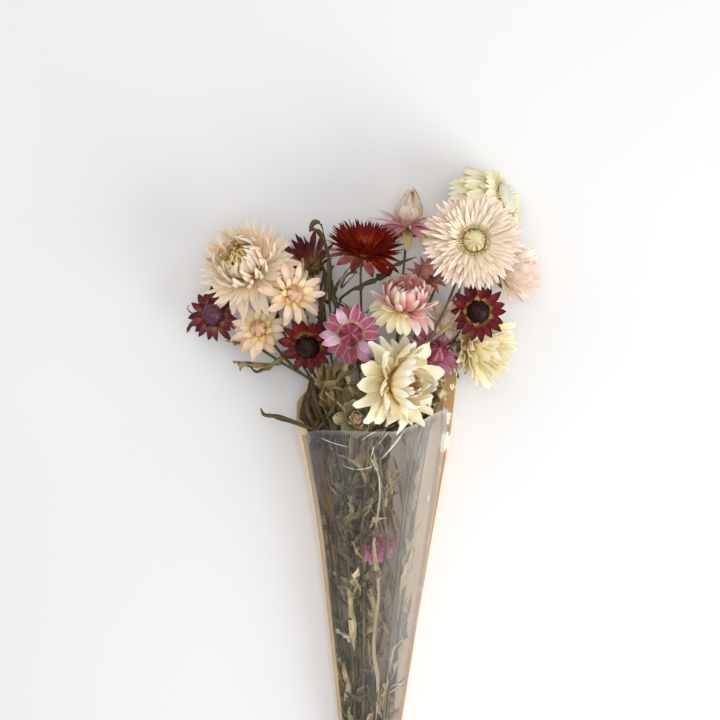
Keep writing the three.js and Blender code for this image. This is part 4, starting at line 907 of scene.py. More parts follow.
# Each head: the kind of its bracts, where it sits and faces, its radius in mm, what differs
# from its kind, and its two slots. A patch is [layer, from degree, to degree, look].
heads = {
    "pale_open": {"kind": "open", "at": (48, 103.5, 58), "facing": (0.1, 0.02, 0.99), "radius": 26,
        "looks": ["paleInner", "paleInner", "paleOuter"], "slots": ("blush", "straw")},
    "rose_star": {"kind": "half", "at": (-16, 52, 54), "facing": (0.02, 0.04, 1), "radius": 17,
        "looks": ["roseRing", "roseStar"], "middle": {"bud": "budRose"}, "form": "broad",
        "grow": [0.62, 1.0, 1.0], "width": [0.7, 0.98, 0.98], "heartSize": 0.9,
        "patches": [(1, 112, 150, "rosePale"), (1, 168, 206, "rosePale"), (1, 296, 334, "rosePale"),
                    (2, 140, 180, "rosePale"), (2, 296, 334, "rosePale")],
        "slots": ("rose", "rose_dark")},
    "wine_star": {"kind": "half", "heart": "smooth", "at": (52, 66, 48), "facing": (0.04, 0.04, 1),
        "radius": 15.5, "looks": ["wineRing", "wineStar"], "middle": {"bud": "budPlum"},
        "grow": [0.8, 1.02, 1.04], "heartSize": 0.84, "width": [0.9, 0.9, 0.9],
        "slots": ("wine", "plum")},
    "cream_cup": {"kind": "cup", "at": (8, 27, 54), "facing": (0.72, -0.04, 0.6), "radius": 25,
        "looks": ["creamBall", "creamBall", "creamCup"], "slots": ("cream", "straw")},
    "peach_double": {"kind": "double", "at": (-73, 86.5, 34), "facing": (-0.36, 0.42, 0.78),
        "radius": 25,
        "looks": ["doubleInner", "doubleDome", "doubleDome", "doubleDome", "doubleSkirt"],
        "form": ["spoon", "spoon", "spoon", "ray", "broad"], "heartwood": "doubleInner",
        "heartSize": 1.2, "slots": ("blush", "straw")},
    "peach_right": {"kind": "half", "at": (-48, 73, 46), "facing": (0.5, 0.16, 0.82), "radius": 17.5,
        "looks": ["peachRing", "peach"], "width": [0.7, 0.72, 0.74], "grow": [0.8, 1.08, 1.14],
        "form": "rounded", "heartSize": 0.66, "middle": {"bud": "peachBud"}, "messy": 0.12,
        "slots": ("blush", "pink")},
    "peach_left": {"kind": "half", "at": (-66, 54, 30), "facing": (-0.3, 0.24, 0.9), "radius": 16.5,
        "looks": ["peachRing", "peach"], "form": "broad", "heartSize": 0.7,
        "width": [0.8, 0.84, 0.88], "middle": {"bud": "peachBud"}, "messy": 0.12,
        "slots": ("blush", "pink")},
    "plum_low": {"kind": "half", "heart": "smooth", "at": (-39, 46.5, 42),
        "facing": (-0.06, -0.42, 0.9), "radius": 16, "looks": ["wineLow"],
        "middle": {"bud": "budPlum"}, "messy": 0.12, "heartSize": 0.86, "width": 0.9,
        "slots": ("wine", "plum")},
    "pink_globe": {"kind": "globe", "at": (12, 68, 42), "facing": (0.1, 0.72, 0.62), "radius": 18.5,
        "looks": ["globePink", "globePink", "globePink", "globeSkirt"],
        "patches": [(2, 205, 275, "globeSkirt"), (1, 225, 250, "globeSkirt"),
                    (3, 292, 360, "globePale"), (3, 0, 40, "globePale")],
        "middle": {"core": "globePink"}, "slots": ("pink", "pink")},
    "rust_flat": {"kind": "flat", "at": (-10, 98, 36), "facing": (0.14, 0.8, 0.5), "radius": 23,
        "looks": ["rustInner", "rustInner", "rustInner", "rustOuter"],
        "patches": [(3, 300, 360, "rustInner"), (3, 0, 40, "rustInner")], "slots": ("rust", "straw")},
    "plum_left": {"kind": "half", "heart": "smooth", "at": (-92, 62, 20),
        "facing": (-0.28, 0.08, 0.94), "radius": 15.5, "looks": ["wineLeft"],
        "middle": {"bud": "budViolet"}, "messy": 0.13, "heartSize": 0.92, "width": 0.88,
        "slots": ("wine", "plum")},
    "pink_side": {"kind": "half", "at": (27, 86, 28), "facing": (-0.45, 0.5, 0.7), "radius": 14.5,
        "looks": ["duskyPink"], "middle": {"bud": "duskyPink"}, "between": 1, "width": 0.6,
        "form": "narrow", "slots": ("wine", "rose_dark")},
    "cream_fan": {"kind": "fan", "at": (50, 49, 20), "facing": (0.84, -0.14, 0.4), "radius": 21,
        "heartwood": "creamFan", "looks": ["creamFan"], "between": 2, "width": 0.95, "form": "petal",
        "messy": 0.13, "steps": fineSteps, "middle": {"core": "strawTeeth"}, "slots": ("cream", "straw")},
    "rose_back": {"kind": "half", "at": (29, 43, 27), "facing": (0.3, 0.3, 0.86), "radius": 16,
        "looks": ["roseNarrow"], "between": 1, "width": 0.6, "form": "narrow", "messy": 0.13,
        "middle": {"bud": "budRose"}, "slots": ("rose", "rose_dark")},
    "blush_small": {"kind": "half", "at": (37, 61, 22), "facing": (-0.1, 0.4, 0.88), "radius": 13,
        "looks": ["blushSmall"], "middle": {"bud": "blushSmall"}, "slots": ("blush", "pink")},
    "blush_right": {"kind": "fan", "at": (69, 88.5, 15.5), "facing": (0.86, 0.16, 0.4), "radius": 17,
        "looks": ["blushBell"], "between": 1, "width": [1.15, 1.2, 1.2], "form": "rounded",
        "curl": 0.2, "middle": {"core": "strawTeeth"}, "slots": ("blush", "straw")},
    "cream_top": {"kind": "swept", "at": (66, 129.5, 20.5), "facing": (0.84, 0.34, 0.42),
        "radius": 20.5, "looks": ["creamTop"], "slots": ("cream", "straw")},
    "pink_top": {"kind": "spray", "at": (14, 114, 16.5), "facing": (0.04, 0.94, 0.26), "radius": 19,
        "heartSize": 1.1, "looks": ["coneBlush", "starPink", "starMagenta", "calyxCream"],
        "slots": ("pink", "rose")},
    "wine_top": {"kind": "fan", "at": (-40, 90, 15), "facing": (-0.34, 0.84, 0.4), "radius": 16.5,
        "looks": ["wineFan"], "between": 0, "width": 0.95, "form": "broad", "messy": 0.13,
        "middle": {"core": "stamenRust"}, "slots": ("wine", "rust")},
    "dry_bud": {"kind": "bud", "at": (-12, 6, 30), "facing": (0, 0.1, 1), "radius": 12,
        "looks": ["dryTuft", "dryOlive"], "heartSize": 1.4, "slots": ("dry", "blush")},
    "rose_inside": {"kind": "half", "at": (0, -64, 22), "facing": (0.05, 0.3, 0.94), "radius": 11.5,
        "looks": ["roseNarrow"], "middle": {"bud": "budRose"}, "slots": ("rose", "rose_dark")},
}
for node, head in heads.items():
    makeHead(node, head)
print("heads done")


def stemFinish():
    finish = Finish("driedStem")
    place = finish.place()
    ridge = finish.grain(finish.stretched(place, (1.0, 0.1, 1.0)), 1500.0)
    blotch = finish.grain(place, 60.0)
    colour = finish.blend(blotch.ramp(0.35, 0.7), shade(74, 64, 40), shade(126, 116, 76))
    colour = finish.blend(ridge.ramp(0.4, 0.75) * 0.6, colour, shade(46, 38, 24))
    return finish.done({
        "Base Color": colour,
        "Roughness": ridge * 0.2 + 0.5,
        "Normal": finish.bump(ridge, 0.6, 0.0006),
    })


def leafFinish(name, colours):
    fresh, dry, brown, light = [shade(*colour) for colour in colours]
    finish = Finish(name)
    along = finish.attribute("along")
    across = finish.attribute("across")
    tone = finish.attribute("tone")
    veins = finish.vector(across * 5 + tone * 30, along * 3 + abs(across) * 2, tone * 80)
    vein = finish.grain(veins, 1.8, 4.0, 0.65)
    blotch = finish.grain(finish.vector(across + tone * 9, along * 3, tone * 55), 1.3)
    colour = finish.blend(tone.ramp(0.15, 0.5), fresh, dry)
    colour = finish.blend(tone.ramp(0.6, 0.95), colour, brown)
    colour = finish.blend(blotch.ramp(0.4, 0.7) * 0.8, colour, light)
    colour = finish.blend(vein.ramp(0.45, 0.75) * 0.65, colour, shade(62, 52, 32))
    colour = finish.blend(finish.attribute("under") * 0.35, colour, light)
    colour = finish.blend(1 - abs(across).ramp(0.0, 0.14), colour, light)
    return finish.done({
        "Base Color": colour,
        "Roughness": vein * 0.2 + 0.56,
        "Normal": finish.bump(vein, 0.7, 0.0008),
        "Specular IOR Level": 0.3,
        "Subsurface Weight": 0.08,
        "Subsurface Scale": 0.0015,
    })


# Each leaf's colours: fresh, dry, brown, and light along its midrib and underneath.
leafLooks = {
    "driedLeaf": [(116, 110, 70), (156, 138, 92), (104, 80, 48), (188, 168, 118)],
    "darkLeaf": [(72, 68, 44), (84, 74, 46), (64, 48, 30), (116, 104, 70)],
    "brownLeaf": [(60, 38, 12), (92, 60, 20), (48, 30, 10), (126, 88, 40)],
    "paleLeaf": [(176, 160, 114), (206, 188, 144), (160, 116, 70), (226, 210, 172)],
    "strawStalk": [(176, 160, 126), (190, 172, 138), (180, 160, 126), (208, 192, 160)],
}
finishes["driedStem"] = stemFinish()
for name, colours in leafLooks.items():
    finishes[name] = leafFinish(name, colours)

# The sleeve in mm: its end and mouth, the share of its height that its seams lie at and of its
# width that lies flat, its seams' widths at the end and the mouth, and its two walls. The left
# seam flares towards the mouth. The film's top edge rises at the right and drops at the left
# corner, and so does the paper's, between its own two heights.
sleeve = {
    "endY": -215, "mouthHalf": 36.5, "endHalf": 10, "mouthHeight": 42, "endHeight": 15.5,
    "seam": 0.4, "flat": 0.5, "paperSeam": (1, 4.4), "leftSeam": (1.8, 3.4), "filmSeam": (1.4, 2.2),
    "paper": 0.7, "film": 0.6, "gap": 0.3, "flare": 5.5, "flareRun": 85, "filmFlare": 0.8,
    "rise": 13, "riseFrom": 0.62, "corner": 0.1, "filmDrop": 4, "paperDrop": 6,
    "paperTop": (20, 41), "paperSpread": 0.09,
}
# How far leaves stay from the sleeve's sides and walls, in mm.
leafRoom = {"overTop": 2.5, "mouth": -8, "left": 0.8, "right": 0.93, "paper": 1.4, "film": 0.9}


# How far the left seam stands out towards the mouth.
def flare(y):
    share = min(1, max(0, (y + sleeve["flareRun"]) / sleeve["flareRun"]))
    return sleeve["flare"] * share ** 2


# The sleeve at a place along it: half its width, its height and the height of its seam.
def sleeveAt(y):
    share = (y - sleeve["endY"]) / -sleeve["endY"]
    height = mix(sleeve["endHeight"], sleeve["mouthHeight"], share)
    half = mix(sleeve["endHalf"], sleeve["mouthHalf"], share)
    return {"half": half, "left": half + sleeve["filmFlare"] * flare(y), "height": height,
            "seam": height * sleeve["seam"], "share": share}


def filmFoot(at):
    return at["seam"] + sleeve["paper"] + sleeve["gap"]


def filmHeight(x, at):
    foot, crown = filmFoot(at), at["height"] - sleeve["film"]
    side = at["left"] if x < 0 else at["half"]
    return foot + (crown - foot) * max(0, 1 - (x / side) ** 2) ** 0.4


def paperHeight(x, at):
    flat = at["half"] * sleeve["flat"]
    if abs(x) <= flat:
        return 0.0
    part = min(1, (abs(x) - flat) / (at["half"] - flat))
    return at["seam"] * (1 - math.sqrt(1 - part * part))


def cornerAt(share):
    return max(0, 1 - share / sleeve["corner"])


def filmTop(x):
    share = x / sleeve["mouthHalf"] / 2 + 0.5
    rise = max(0, (share - sleeve["riseFrom"]) / (1 - sleeve["riseFrom"])) ** 1.2
    return sleeve["rise"] * rise - sleeve["filmDrop"] * cornerAt(share) ** 2


# Keeps a point of a leaf between the paper and the film.
def kept(point):
    x, y, z = point / mm
    at = sleeveAt(min(y, 0))
    edge = sleeve["mouthHalf"]
    over = y > filmTop(min(edge, max(-edge, x))) + leafRoom["overTop"]
    if over or (y > leafRoom["mouth"] and abs(x) > at["half"]):
        return point
    x = max(leafRoom["left"] - at["left"], min(at["half"] * leafRoom["right"], x))
    low, high = paperHeight(x, at) + leafRoom["paper"], filmHeight(x, at) - leafRoom["film"]
    return Vector((x, y, max(low, min(high, z)))) * mm


# Leaves that the solid leaves out: so many more on each stem between two places along the
# bunch, from so long to so long and from so wide to so wide, in mm.
extraLeaves = [
    {"perStem": 24, "from": -205, "to": -14, "length": (14, 32), "half": (2.0, 4.8), "lift": 0.7},
    {"perStem": 7, "from": -20, "to": 20, "length": (22, 42), "half": (3.0, 5.6), "lift": 0.4},
    {"perStem": 2, "from": 18, "to": 60, "length": (10, 20), "half": (1.4, 2.6), "lift": 0.5},
]
extraLooks = {"driedLeaf": 5, "darkLeaf": 5, "paleLeaf": 2}
# What such leaves leave clear, in mm: the dry bud as [x, y, radius, height], the paper's sides
# as [from, to, half width] and the sleeve's right part between two places along it.
clear = {"bud": (-12, 6, 12, 20), "sides": (-14, 42, 37), "sleeve": (-135, 4), "yetDrawn": 0.04}
# Leaves that stand out: the stem they grow on, their look, half their width and the points
# they pass, in mm.
shapedLeaves = [
    ("peach_right", "darkLeaf", 2.3, [(-27.7, 57.8, 34), (-28.3, 72.8, 38), (-28, 90, 42),
        (-31.3, 102.2, 46), (-35.1, 108.8, 48), (-38.5, 109.4, 50), (-37.6, 112, 51),
        (-33.6, 111, 50), (-31.5, 105, 49)]),
    ("plum_left", "driedLeaf", 2.7, [(-51.2, 42.5, 16), (-56, 38, 17), (-62, 34, 17),
        (-66.5, 31.5, 16)]),
    ("plum_left", "darkLeaf", 2.2, [(-64, 32.5, 16), (-69, 30.5, 16), (-72.8, 34.3, 17),
        (-77.1, 35.2, 17), (-77.4, 31, 19)]),
    ("plum_left", "darkLeaf", 1.9, [(-96.6, 55.4, 14), (-100.4, 56.5, 15), (-105, 55.6, 16),
        (-108.3, 51.5, 15)]),
    ("plum_left", "darkLeaf", 0.5, [(-97.9, 61.7, 14), (-102.8, 62.2, 18), (-106.4, 63.4, 19),
        (-107.4, 66.2, 20), (-105.9, 67.2, 20)]),
    ("plum_low", "darkLeaf", 2.2, [(-28.2, 4.6, 26), (-34.4, 0, 26), (-46, 3.5, 25), (-56.4, 6.3, 22),
        (-63.2, 7.1, 20), (-65.5, 10.9, 21)]),
    ("rust_flat", "darkLeaf", 2.5, [(-23.3, 70.1, 28), (-17.1, 77.1, 31), (-9.6, 81, 33),
        (-2.1, 82.4, 33), (2.9, 86.4, 32), (6.5, 91.4, 33), (19, 96.1, 34)]),
    ("rust_flat", "driedLeaf", 0.9, [(-24.7, 73.3, 27), (-23.5, 79.5, 30), (-20.5, 85.2, 31),
        (-16.8, 91, 32)]),
    ("wine_top", "darkLeaf", 1.8, [(-31, 66, 20), (-33.5, 76, 24), (-31, 86, 27), (-34.5, 95, 30)]),
    ("cream_fan", "darkLeaf", 1.7, [(43.5, 44.5, 14), (42.6, 37, 14), (45.2, 29.5, 12)]),
    ("dry_bud", "driedLeaf", 4.0, [(-20.7, 12.3, 24), (-23.5, 22.5, 28), (-25.5, 30.1, 30),
        (-23.9, 40.3, 31)]),
    ("rose_star", "paleLeaf", 3.4, [(-15.1, 17.3, 28), (-16.9, 24.8, 32), (-18.9, 31.6, 35),
        (-16.8, 38.7, 36)]),
    ("plum_low", "darkLeaf", 3.2, [(-28.2, 0.6, 24), (-33.4, 12.1, 28), (-36.8, 23.5, 32),
        (-35, 31.2, 34)]),
    ("plum_left", "darkLeaf", 3.0, [(-34, -6, 18), (-39, 2, 20), (-41.5, 10, 21), (-40, 20, 22)]),
    ("peach_double", "darkLeaf", 3.0, [(-32, 2, 18), (-37, 10, 20), (-38, 19, 22), (-34, 27, 24)]),
    ("plum_left", "driedLeaf", 3.0, [(-30.3, -0.2, 18), (-36.7, 13.2, 22), (-38.8, 23.4, 26),
        (-37, 29.2, 28)]),
    ("rust_flat", "driedLeaf", 3.2, [(-21.8, 2.1, 26), (-27.1, 14.9, 32), (-28.6, 27.6, 35),
        (-28.1, 36.4, 36)]),
    ("plum_low", "paleLeaf", 1.1, [(-18, 8.9, 35), (-20.7, 13.9, 36), (-28.3, 20.1, 38),
        (-34.7, 27.5, 38), (-38.6, 31.8, 38)]),
    ("pink_globe", "paleLeaf", 3.0, [(-6.4, 16, 26), (-8.2, 21.9, 30), (-9.6, 27.5, 32),
        (-8.4, 33.3, 33)]),
    ("cream_cup", "darkLeaf", 3.0, [(18.9, 4.4, 24), (23.7, 14.7, 26), (28.6, 25, 26)]),
    ("wine_star", "darkLeaf", 2.0, [(26, -2, 16), (29.5, 3, 19), (25.5, 7.5, 20), (30, 11, 20)]),
    ("cream_cup", "strawStalk", 1.5, [(-3.6, -6, 38.5), (2.2, -28.2, 36.6), (1.4, -43.6, 34.8),
        (-0.5, -62.9, 32.4), (3.0, -86.7, 29.5), (0.8, -119, 25.5), (3.7, -139.4, 23.1),
        (2.5, -170, 19.2)]),
    ("peach_double", "brownLeaf", 4.0, [(-31.6, -10.8, 29), (-29.4, -24, 31), (-25.6, -40, 30.5),
        (-20.4, -60, 28)]),
    ("plum_left", "darkLeaf", 3.8, [(-33, -4, 20), (-38, 6, 22), (-39.5, 14, 23), (-36.5, 24, 24)]),
    ("plum_left", "darkLeaf", 3.4, [(-36, -5, 21), (-36.8, -14, 20.5), (-35.4, -24, 20.5),
        (-32.6, -36, 20), (-30, -50, 19)]),
    ("peach_double", "darkLeaf", 3.2, [(-32, -6, 25), (-34, -14, 23), (-31.6, -28, 23),
        (-28.5, -46, 22)]),
    ("plum_low", "darkLeaf", 2.6, [(-30, -44, 20), (-29.6, -56, 18), (-27, -70, 17), (-25, -86, 16)]),
    ("peach_double", "darkLeaf", 2.6, [(-24, -84, 17), (-23.6, -98, 16), (-21, -112, 15),
        (-19, -128, 14)]),
    ("plum_left", "paleLeaf", 3.0, [(-14, -88, 22), (-12.6, -100, 22), (-11.2, -112, 20),
        (-10, -124, 18)]),
    ("wine_star", "paleLeaf", 3.2, [(21, -66, 17), (19.5, -74, 19), (15.4, -82, 20),
        (14.6, -93, 19)]),
    ("peach_double", "paleLeaf", 2.6, [(-16, -132, 17), (-13.5, -141, 17), (-11, -152, 16)]),
    ("peach_right", "darkLeaf", 2.6, [(-31, 55, 30), (-33.5, 64, 33), (-31, 74, 35), (-28.5, 84, 36),
        (-30, 92, 36)]),
    ("rust_flat", "darkLeaf", 2.2, [(-27, 60, 26), (-24.5, 68, 28), (-26.5, 76, 30),
        (-22.5, 84, 31)]),
    ("rust_flat", "darkLeaf", 2.6, [(-30, 54, 26), (-34.5, 60, 27), (-32, 68, 28), (-36, 75, 29)]),
    ("wine_top", "darkLeaf", 2.2, [(-29, 70, 22), (-26.5, 78, 24), (-29, 86, 26), (-26, 91, 27)]),
    ("rust_flat", "darkLeaf", 1.4, [(-22, 78, 30), (-19.5, 84.5, 31), (-15.5, 87, 32),
        (-12, 86, 32)]),
    ("pink_side", "darkLeaf", 2.0, [(6, 86, 26), (12, 88.5, 27), (18, 87.5, 27), (24, 90, 27)]),
]


# A leaf along its own points, from the nearest place on the stem's skin.
def shapedLeaf(tube, half, line, roll):
    points = [Vector(point) * mm for point in line]
    seat = min(tube.verts, key=lambda vert: (vert.co - points[0]).length)
    points.insert(0, seat.co.copy())
    side = (points[2] - points[0]).cross(upward).normalized()
    return {"points": points, "sides": [side], "half": half * mm, "length": lengthOf(points),
            "seed": seedOf(roll), "twist": roll.uniform(-0.8, 0.8)}


def inTheWay(points):
    budX, budY, budRadius, budHeight = clear["bud"]
    low, high, sideHalf = clear["sides"]
    for point in points:
        x, y, z = point / mm
        if math.hypot(x - budX, y - budY) < budRadius and z > budHeight:
            return True
        if low < y < high and abs(x + 1) > sideHalf:
            return True
        if clear["sleeve"][0] < y < clear["sleeve"][1]:
            edge = 0.2 + 0.3 * noise.noise(Vector((y / 16, 2, 5)))
            if x > edge * sleeveAt(y)["half"]:
                return True
    return False


# One more leaf, from a point of the stem's skin, drifting as it grows.
def strayLeaf(vert, row, roll):
    edge = max(vert.link_edges, key=lambda edge: edge.calc_length())
    growth = (edge.other_vert(vert).co - vert.co).normalized()
    growth = -growth if growth.y < 0 else growth
    length = roll.uniform(*row["length"]) * mm
    side = growth.cross(vert.normal).normalized()
    points = [vert.co - vert.normal * 0.2 * mm]
    heading = (growth + vert.normal * roll.uniform(0.2, 1.0) * row["lift"]).normalized()
    bend = roll.uniform(-0.6, 0.6)
    for n in range(5):
        points.append(kept(points[-1] + heading * length / 5))
        drift = side * (bend + roll.uniform(-0.6, 0.6)) + vert.normal * roll.uniform(-0.8, 0.6)
        heading = (heading + drift).normalized()
    return {"points": points, "sides": [side], "half": roll.uniform(*row["half"]) * mm,
            "length": length, "seed": seedOf(roll), "twist": roll.uniform(-2.6, 2.6)}


# The solid's stem without its leaves, closed where they grew.
def bareTube(tube, blades):
    for blade in blades:
        drawn = [vert for vert in blade["drawn"] if vert.is_valid]
        bmesh.ops.delete(tube, geom=drawn, context="VERTS")
    bmesh.ops.holes_fill(tube, edges=[edge for edge in tube.edges if edge.is_boundary], sides=5)
    bmesh.ops.recalc_face_normals(tube, faces=tube.faces[:])
    for face in tube.faces:
        face.smooth = True


# A stem keeps its solid's line, and the finer leaves grow from it.
def makeStem(node):
    stem = node[:-len("_stem")]
    roll = random.Random(node)
    tube = mergedCopy(node)
    blades = readBlades(tube)
    bed, longBed = Bed(2, 9), Bed(3, 22)
    for blade in blades:
        drawn = {**blade, "seed": seedOf(roll), "half": blade["half"] * 1.1}
        bed.draw(drawn, leafForm, "driedLeaf", roll, stay)
    bareTube(tube, blades)
    for carrier, look, half, line in shapedLeaves:
        if carrier == stem:
            longBed.draw(shapedLeaf(tube, half, line, roll), shapedForm, look, roll, stay)
    for row in extraLeaves:
        seats = [vert for vert in tube.verts if row["from"] * mm < vert.co.y < row["to"] * mm]
        for vert in roll.sample(seats, min(row["perStem"], len(seats))):
            blade = strayLeaf(vert, row, roll)
            look = roll.choices(list(extraLooks), extraLooks.values())[0]
            if not inTheWay(blade["points"]) or roll.random() < clear["yetDrawn"]:
                bed.draw(blade, leafForm, look, roll, stay)
    for leaves, kind in ((bed, "Leaves"), (longBed, "LongLeaves")):
        if leaves.looks:
            leaves.keepIn()
            leaves.finish(camel(stem) + kind, "dried_stem", node)
    data = meshData(tube, camel(node), [finishes["driedStem"]])
    rounding = ridePiece(camel(node), data, node).modifiers.new("rounding", "SUBSURF")
    rounding.levels = 1
    rounding.render_levels = 1


for node in sorted(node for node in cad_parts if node.endswith("_stem")):
    makeStem(node)
print("stems and leaves done")

# The paper's colours: the right one is painted light, the inside one painted shade and the last one
# painted glints.
paperLook = {"pale": (240, 208, 172), "dark": (224, 188, 152), "cloud": (244, 218, 184),
             "right": (255, 227, 197), "inside": (128, 96, 60), "rim": (156, 122, 62),
             "flake": (250, 240, 214)}
paperLook = {part: shade(*colour) for part, colour in paperLook.items()}


# Brown paper, painted paler at the right where light falls into the sleeve, darker with painted
# shade at the left of the mouth, and with pale painted glints along its right rim.
def paperFinish():
    finish = Finish("kraftPaper")
    place = finish.place()
    x, y = finish.part(place, "X"), finish.part(place, "Y")
    rim = finish.attribute("rim")
    fibre = finish.grain(finish.stretched(place, (1.0, 0.25, 1.0)), 900.0, 4.0, 0.6)
    cloud = finish.grain(place, 45.0, 2.0)
    # Painted shade: darker brown at the left of the mouth, where the paper lies in shade.
    inside = y.ramp(0.0, 0.006) * (1 - x.ramp(-0.034, -0.028))
    # Painted glints: pale, glossier spots along the right rim, fewer towards the sleeve's end.
    flake = finish.grain(finish.stretched(place, (1.0, 0.6, 1.0)), 120.0, 4.0, 0.7)
    patch = finish.grain(finish.stretched(place, (0.0, 1.0, 0.0)), 75.0, 1.0)
    glintMask = (flake * 0.55 + patch * 0.45).ramp(0.53, 0.555) * rim * y.ramp(-0.06, -0.015, 0.2, 1.0)
    colour = finish.blend(fibre.ramp(0.3, 0.75), paperLook["pale"], paperLook["dark"])
    colour = finish.blend(cloud.ramp(0.35, 0.7) * 0.4, colour, paperLook["cloud"])
    # Painted light: paler towards the right, where light falls into the sleeve.
    colour = finish.blend(x.ramp(-0.01, 0.012) * 0.9, colour, paperLook["right"])
    colour = finish.blend(inside * 0.8, colour, paperLook["inside"])
    colour = finish.blend(rim * 0.9, colour, paperLook["rim"])
    colour = finish.blend(glintMask, colour, paperLook["flake"])
    return finish.done({
        "Base Color": colour,
        "Roughness": 0.62 - glintMask * 0.3,
        "Normal": finish.bump(fibre, 0.35, 0.0003),
        "Subsurface Weight": 0.6,
        "Subsurface Scale": 0.003,
        "Subsurface Radius": (1.0, 0.85, 0.7),
    })


# Sharp creases of the film, as [x, y, angle, half length, width, bend] in mm and degrees.
# Each crease carries a painted white highlight.
creases = [
    (-24.0, -7.0, -16, 10.0, 0.3, 0.006), (-4.6, -1.9, 33, 7.2, 0.3, -0.012),
    (8.2, -7.8, 52, 11.4, 0.5, 0.004), (-2.6, -10.6, 75, 3.4, 0.35, 0), (2.6, -4.0, 54, 5.6, 0.3, 0),
    (-9.8, -21.0, 3, 10.5, 0.28, 0.032), (-1.8, -18.2, -63, 5.8, 0.3, 0),
    (1.4, -28.4, -89, 6.0, 0.25, 0), (29, -36.6, 80, 2.6, 0.3, 0),
]
# The left tint is grey with painted shade, the right one a painted sheen of the light from the right, the
# dusk one painted shade and the crease one a painted highlight.
filmLook = {"left": (150, 152, 162), "right": (214, 210, 212), "dusk": (120, 122, 134),
            "crease": (255, 252, 244)}
filmLook = {part: shade(*colour) for part, colour in filmLook.items()}


# One crease, as a mask that is 1 along its line.
def creaseMask(x, y, left, up, angle, half, width, bend):
    c, d = math.cos(math.radians(angle)), math.sin(math.radians(angle))
    run = x * c + y * d - (left * c + up * d) * mm
    off = y * c - x * d - (up * c - left * d) * mm
    if bend:
        off = off - run * run * (bend / mm)
    ends = 1 - abs(run).ramp(half * 0.4 * mm, half * mm)
    return (1 - abs(off).ramp(0.0, width * 1.2 * mm)) * ends


# Clear film: a haze that is denser at its top edge. Denser haze at its sides is a painted reflection
# where the film is seen aslant, and denser, paler haze at its right a painted sheen of the light
# from the right. It is grey with painted shade at its left, and its creases and fine crinkles carry
# painted white highlights.
def filmFinish():
    finish = Finish("clearFilm")
    place = finish.place()
    x, y = finish.part(place, "X"), finish.part(place, "Y")
    rim, side = finish.attribute("rim"), finish.attribute("side")
    ridge, *others = [creaseMask(x, y, *crease) for crease in creases]
    for mask in others:
        ridge = ridge.maths("MAXIMUM", ridge, mask)
    warp = finish.grain(finish.stretched(place, (1.0, 0.3, 1.0)), 40.0)
    crinkle = abs(finish.grain(finish.stretched(place, (1.0, 0.22, 1.0)), 60.0, 2.0) - 0.5)
    fine = (1 - crinkle.ramp(0.0, 0.012)) * warp.ramp(0.5, 0.6)
    glint = finish.grain(place, 260.0, 2.0)
    dusk = 1 - x.ramp(-0.037, -0.027)
    # Painted sheen: denser haze towards the right. Painted reflection: denser haze at the sides.
    haze = warp.ramp(0.35, 0.7) * 0.05 + x.ramp(0.006, 0.03) * 0.12 + side * side * 0.16 + 0.035
    # Painted highlights along the creases and fine crinkles; dusk adds painted shade at the left.
    cover = haze + dusk * 0.16 + ridge * glint.ramp(0.2, 0.5) * 0.7 + fine * 0.06 + rim * 0.22
    tint = finish.blend(x.ramp(-0.03, 0.02), filmLook["left"], filmLook["right"])
    tint = finish.blend(dusk, tint, filmLook["dusk"])
    return finish.done({
        "Base Color": finish.blend(ridge, tint, filmLook["crease"]),
        "Roughness": 0.18,
        "Alpha": cover,
        "Normal": finish.bump(ridge + fine + warp * 3, 0.5, 0.0008),
        "Specular IOR Level": 0.6,
    })


# A sheet from its flat grid: each point is put at [x, y, z] in mm by its two shares, then the
# sheet gets its thickness. The points near its open edges get the rim attribute, and those
# near its sides the side attribute.
def makeSheet(name, node, finish, grid, where, thickness, rimOf):
    mesh = bmesh.new()
    bmesh.ops.create_grid(mesh, x_segments=grid[0], y_segments=grid[1], size=1)
    layers = pointLayers(mesh, ("rim", "side"))
    for vert in mesh.verts:
        across, along = vert.co.x / 2 + 0.5, vert.co.y / 2 + 0.5
        vert[layers["rim"]] = rimOf(across, along)
        vert[layers["side"]] = max(0, 1 - min(across, 1 - across) / 0.24)
        vert.co = Vector(where(across, along)) * mm
    bmesh.ops.recalc_face_normals(mesh, faces=mesh.faces[:])
    bmesh.ops.solidify(mesh, geom=mesh.faces[:], thickness=thickness * mm)
    bmesh.ops.recalc_face_normals(mesh, faces=mesh.faces[:])
    smoothed(mesh)
    for vert in mesh.verts:
        vert.co.z = max(vert.co.z, 0.0)
    ridePiece(name, meshData(mesh, name, [finish]), node)


def ripple(share, scale, row):
    return noise.noise(Vector((share * scale, row, 0)))


def wrinkle(x, y, scale, seed):
    return noise.noise(Vector((x * scale, y * scale * 0.35, seed)))


filmMargin = 0.05  # the share of the sheet that each seam takes
paperMargin = 0.09


def filmPoint(across, along):
    angle = math.pi * min(1, max(0, 1 - (across - filmMargin) / (1 - 2 * filmMargin)))
    top = filmTop(math.cos(angle) * sleeve["mouthHalf"])
    y = mix(sleeve["endY"], top + 0.8 * ripple(across, 6, 3), along)
    at = sleeveAt(min(y, 0))
    flange = mix(*sleeve["filmSeam"], min(1, at["share"]))
    if across < filmMargin:
        return (-at["left"] - flange * (1 - across / filmMargin), y, filmFoot(at))
    if across > 1 - filmMargin:
        return (at["half"] + flange * (1 - (1 - across) / filmMargin), y, filmFoot(at))
    x = math.cos(angle) * (at["left"] if angle > math.pi / 2 else at["half"])
    arch = math.sin(angle)
    z = filmHeight(x, at) + 0.6
    z += arch * (1.1 * wrinkle(x, y, 0.11, 5) + 0.5 * wrinkle(x, y, 0.3, 9)) - 0.5 * arch
    return (x, y, z)


def filmRim(across, along):
    return max(0, 1 - (1 - along) / 0.012, 1 - across / 0.03, 1 - (1 - across) / 0.03)


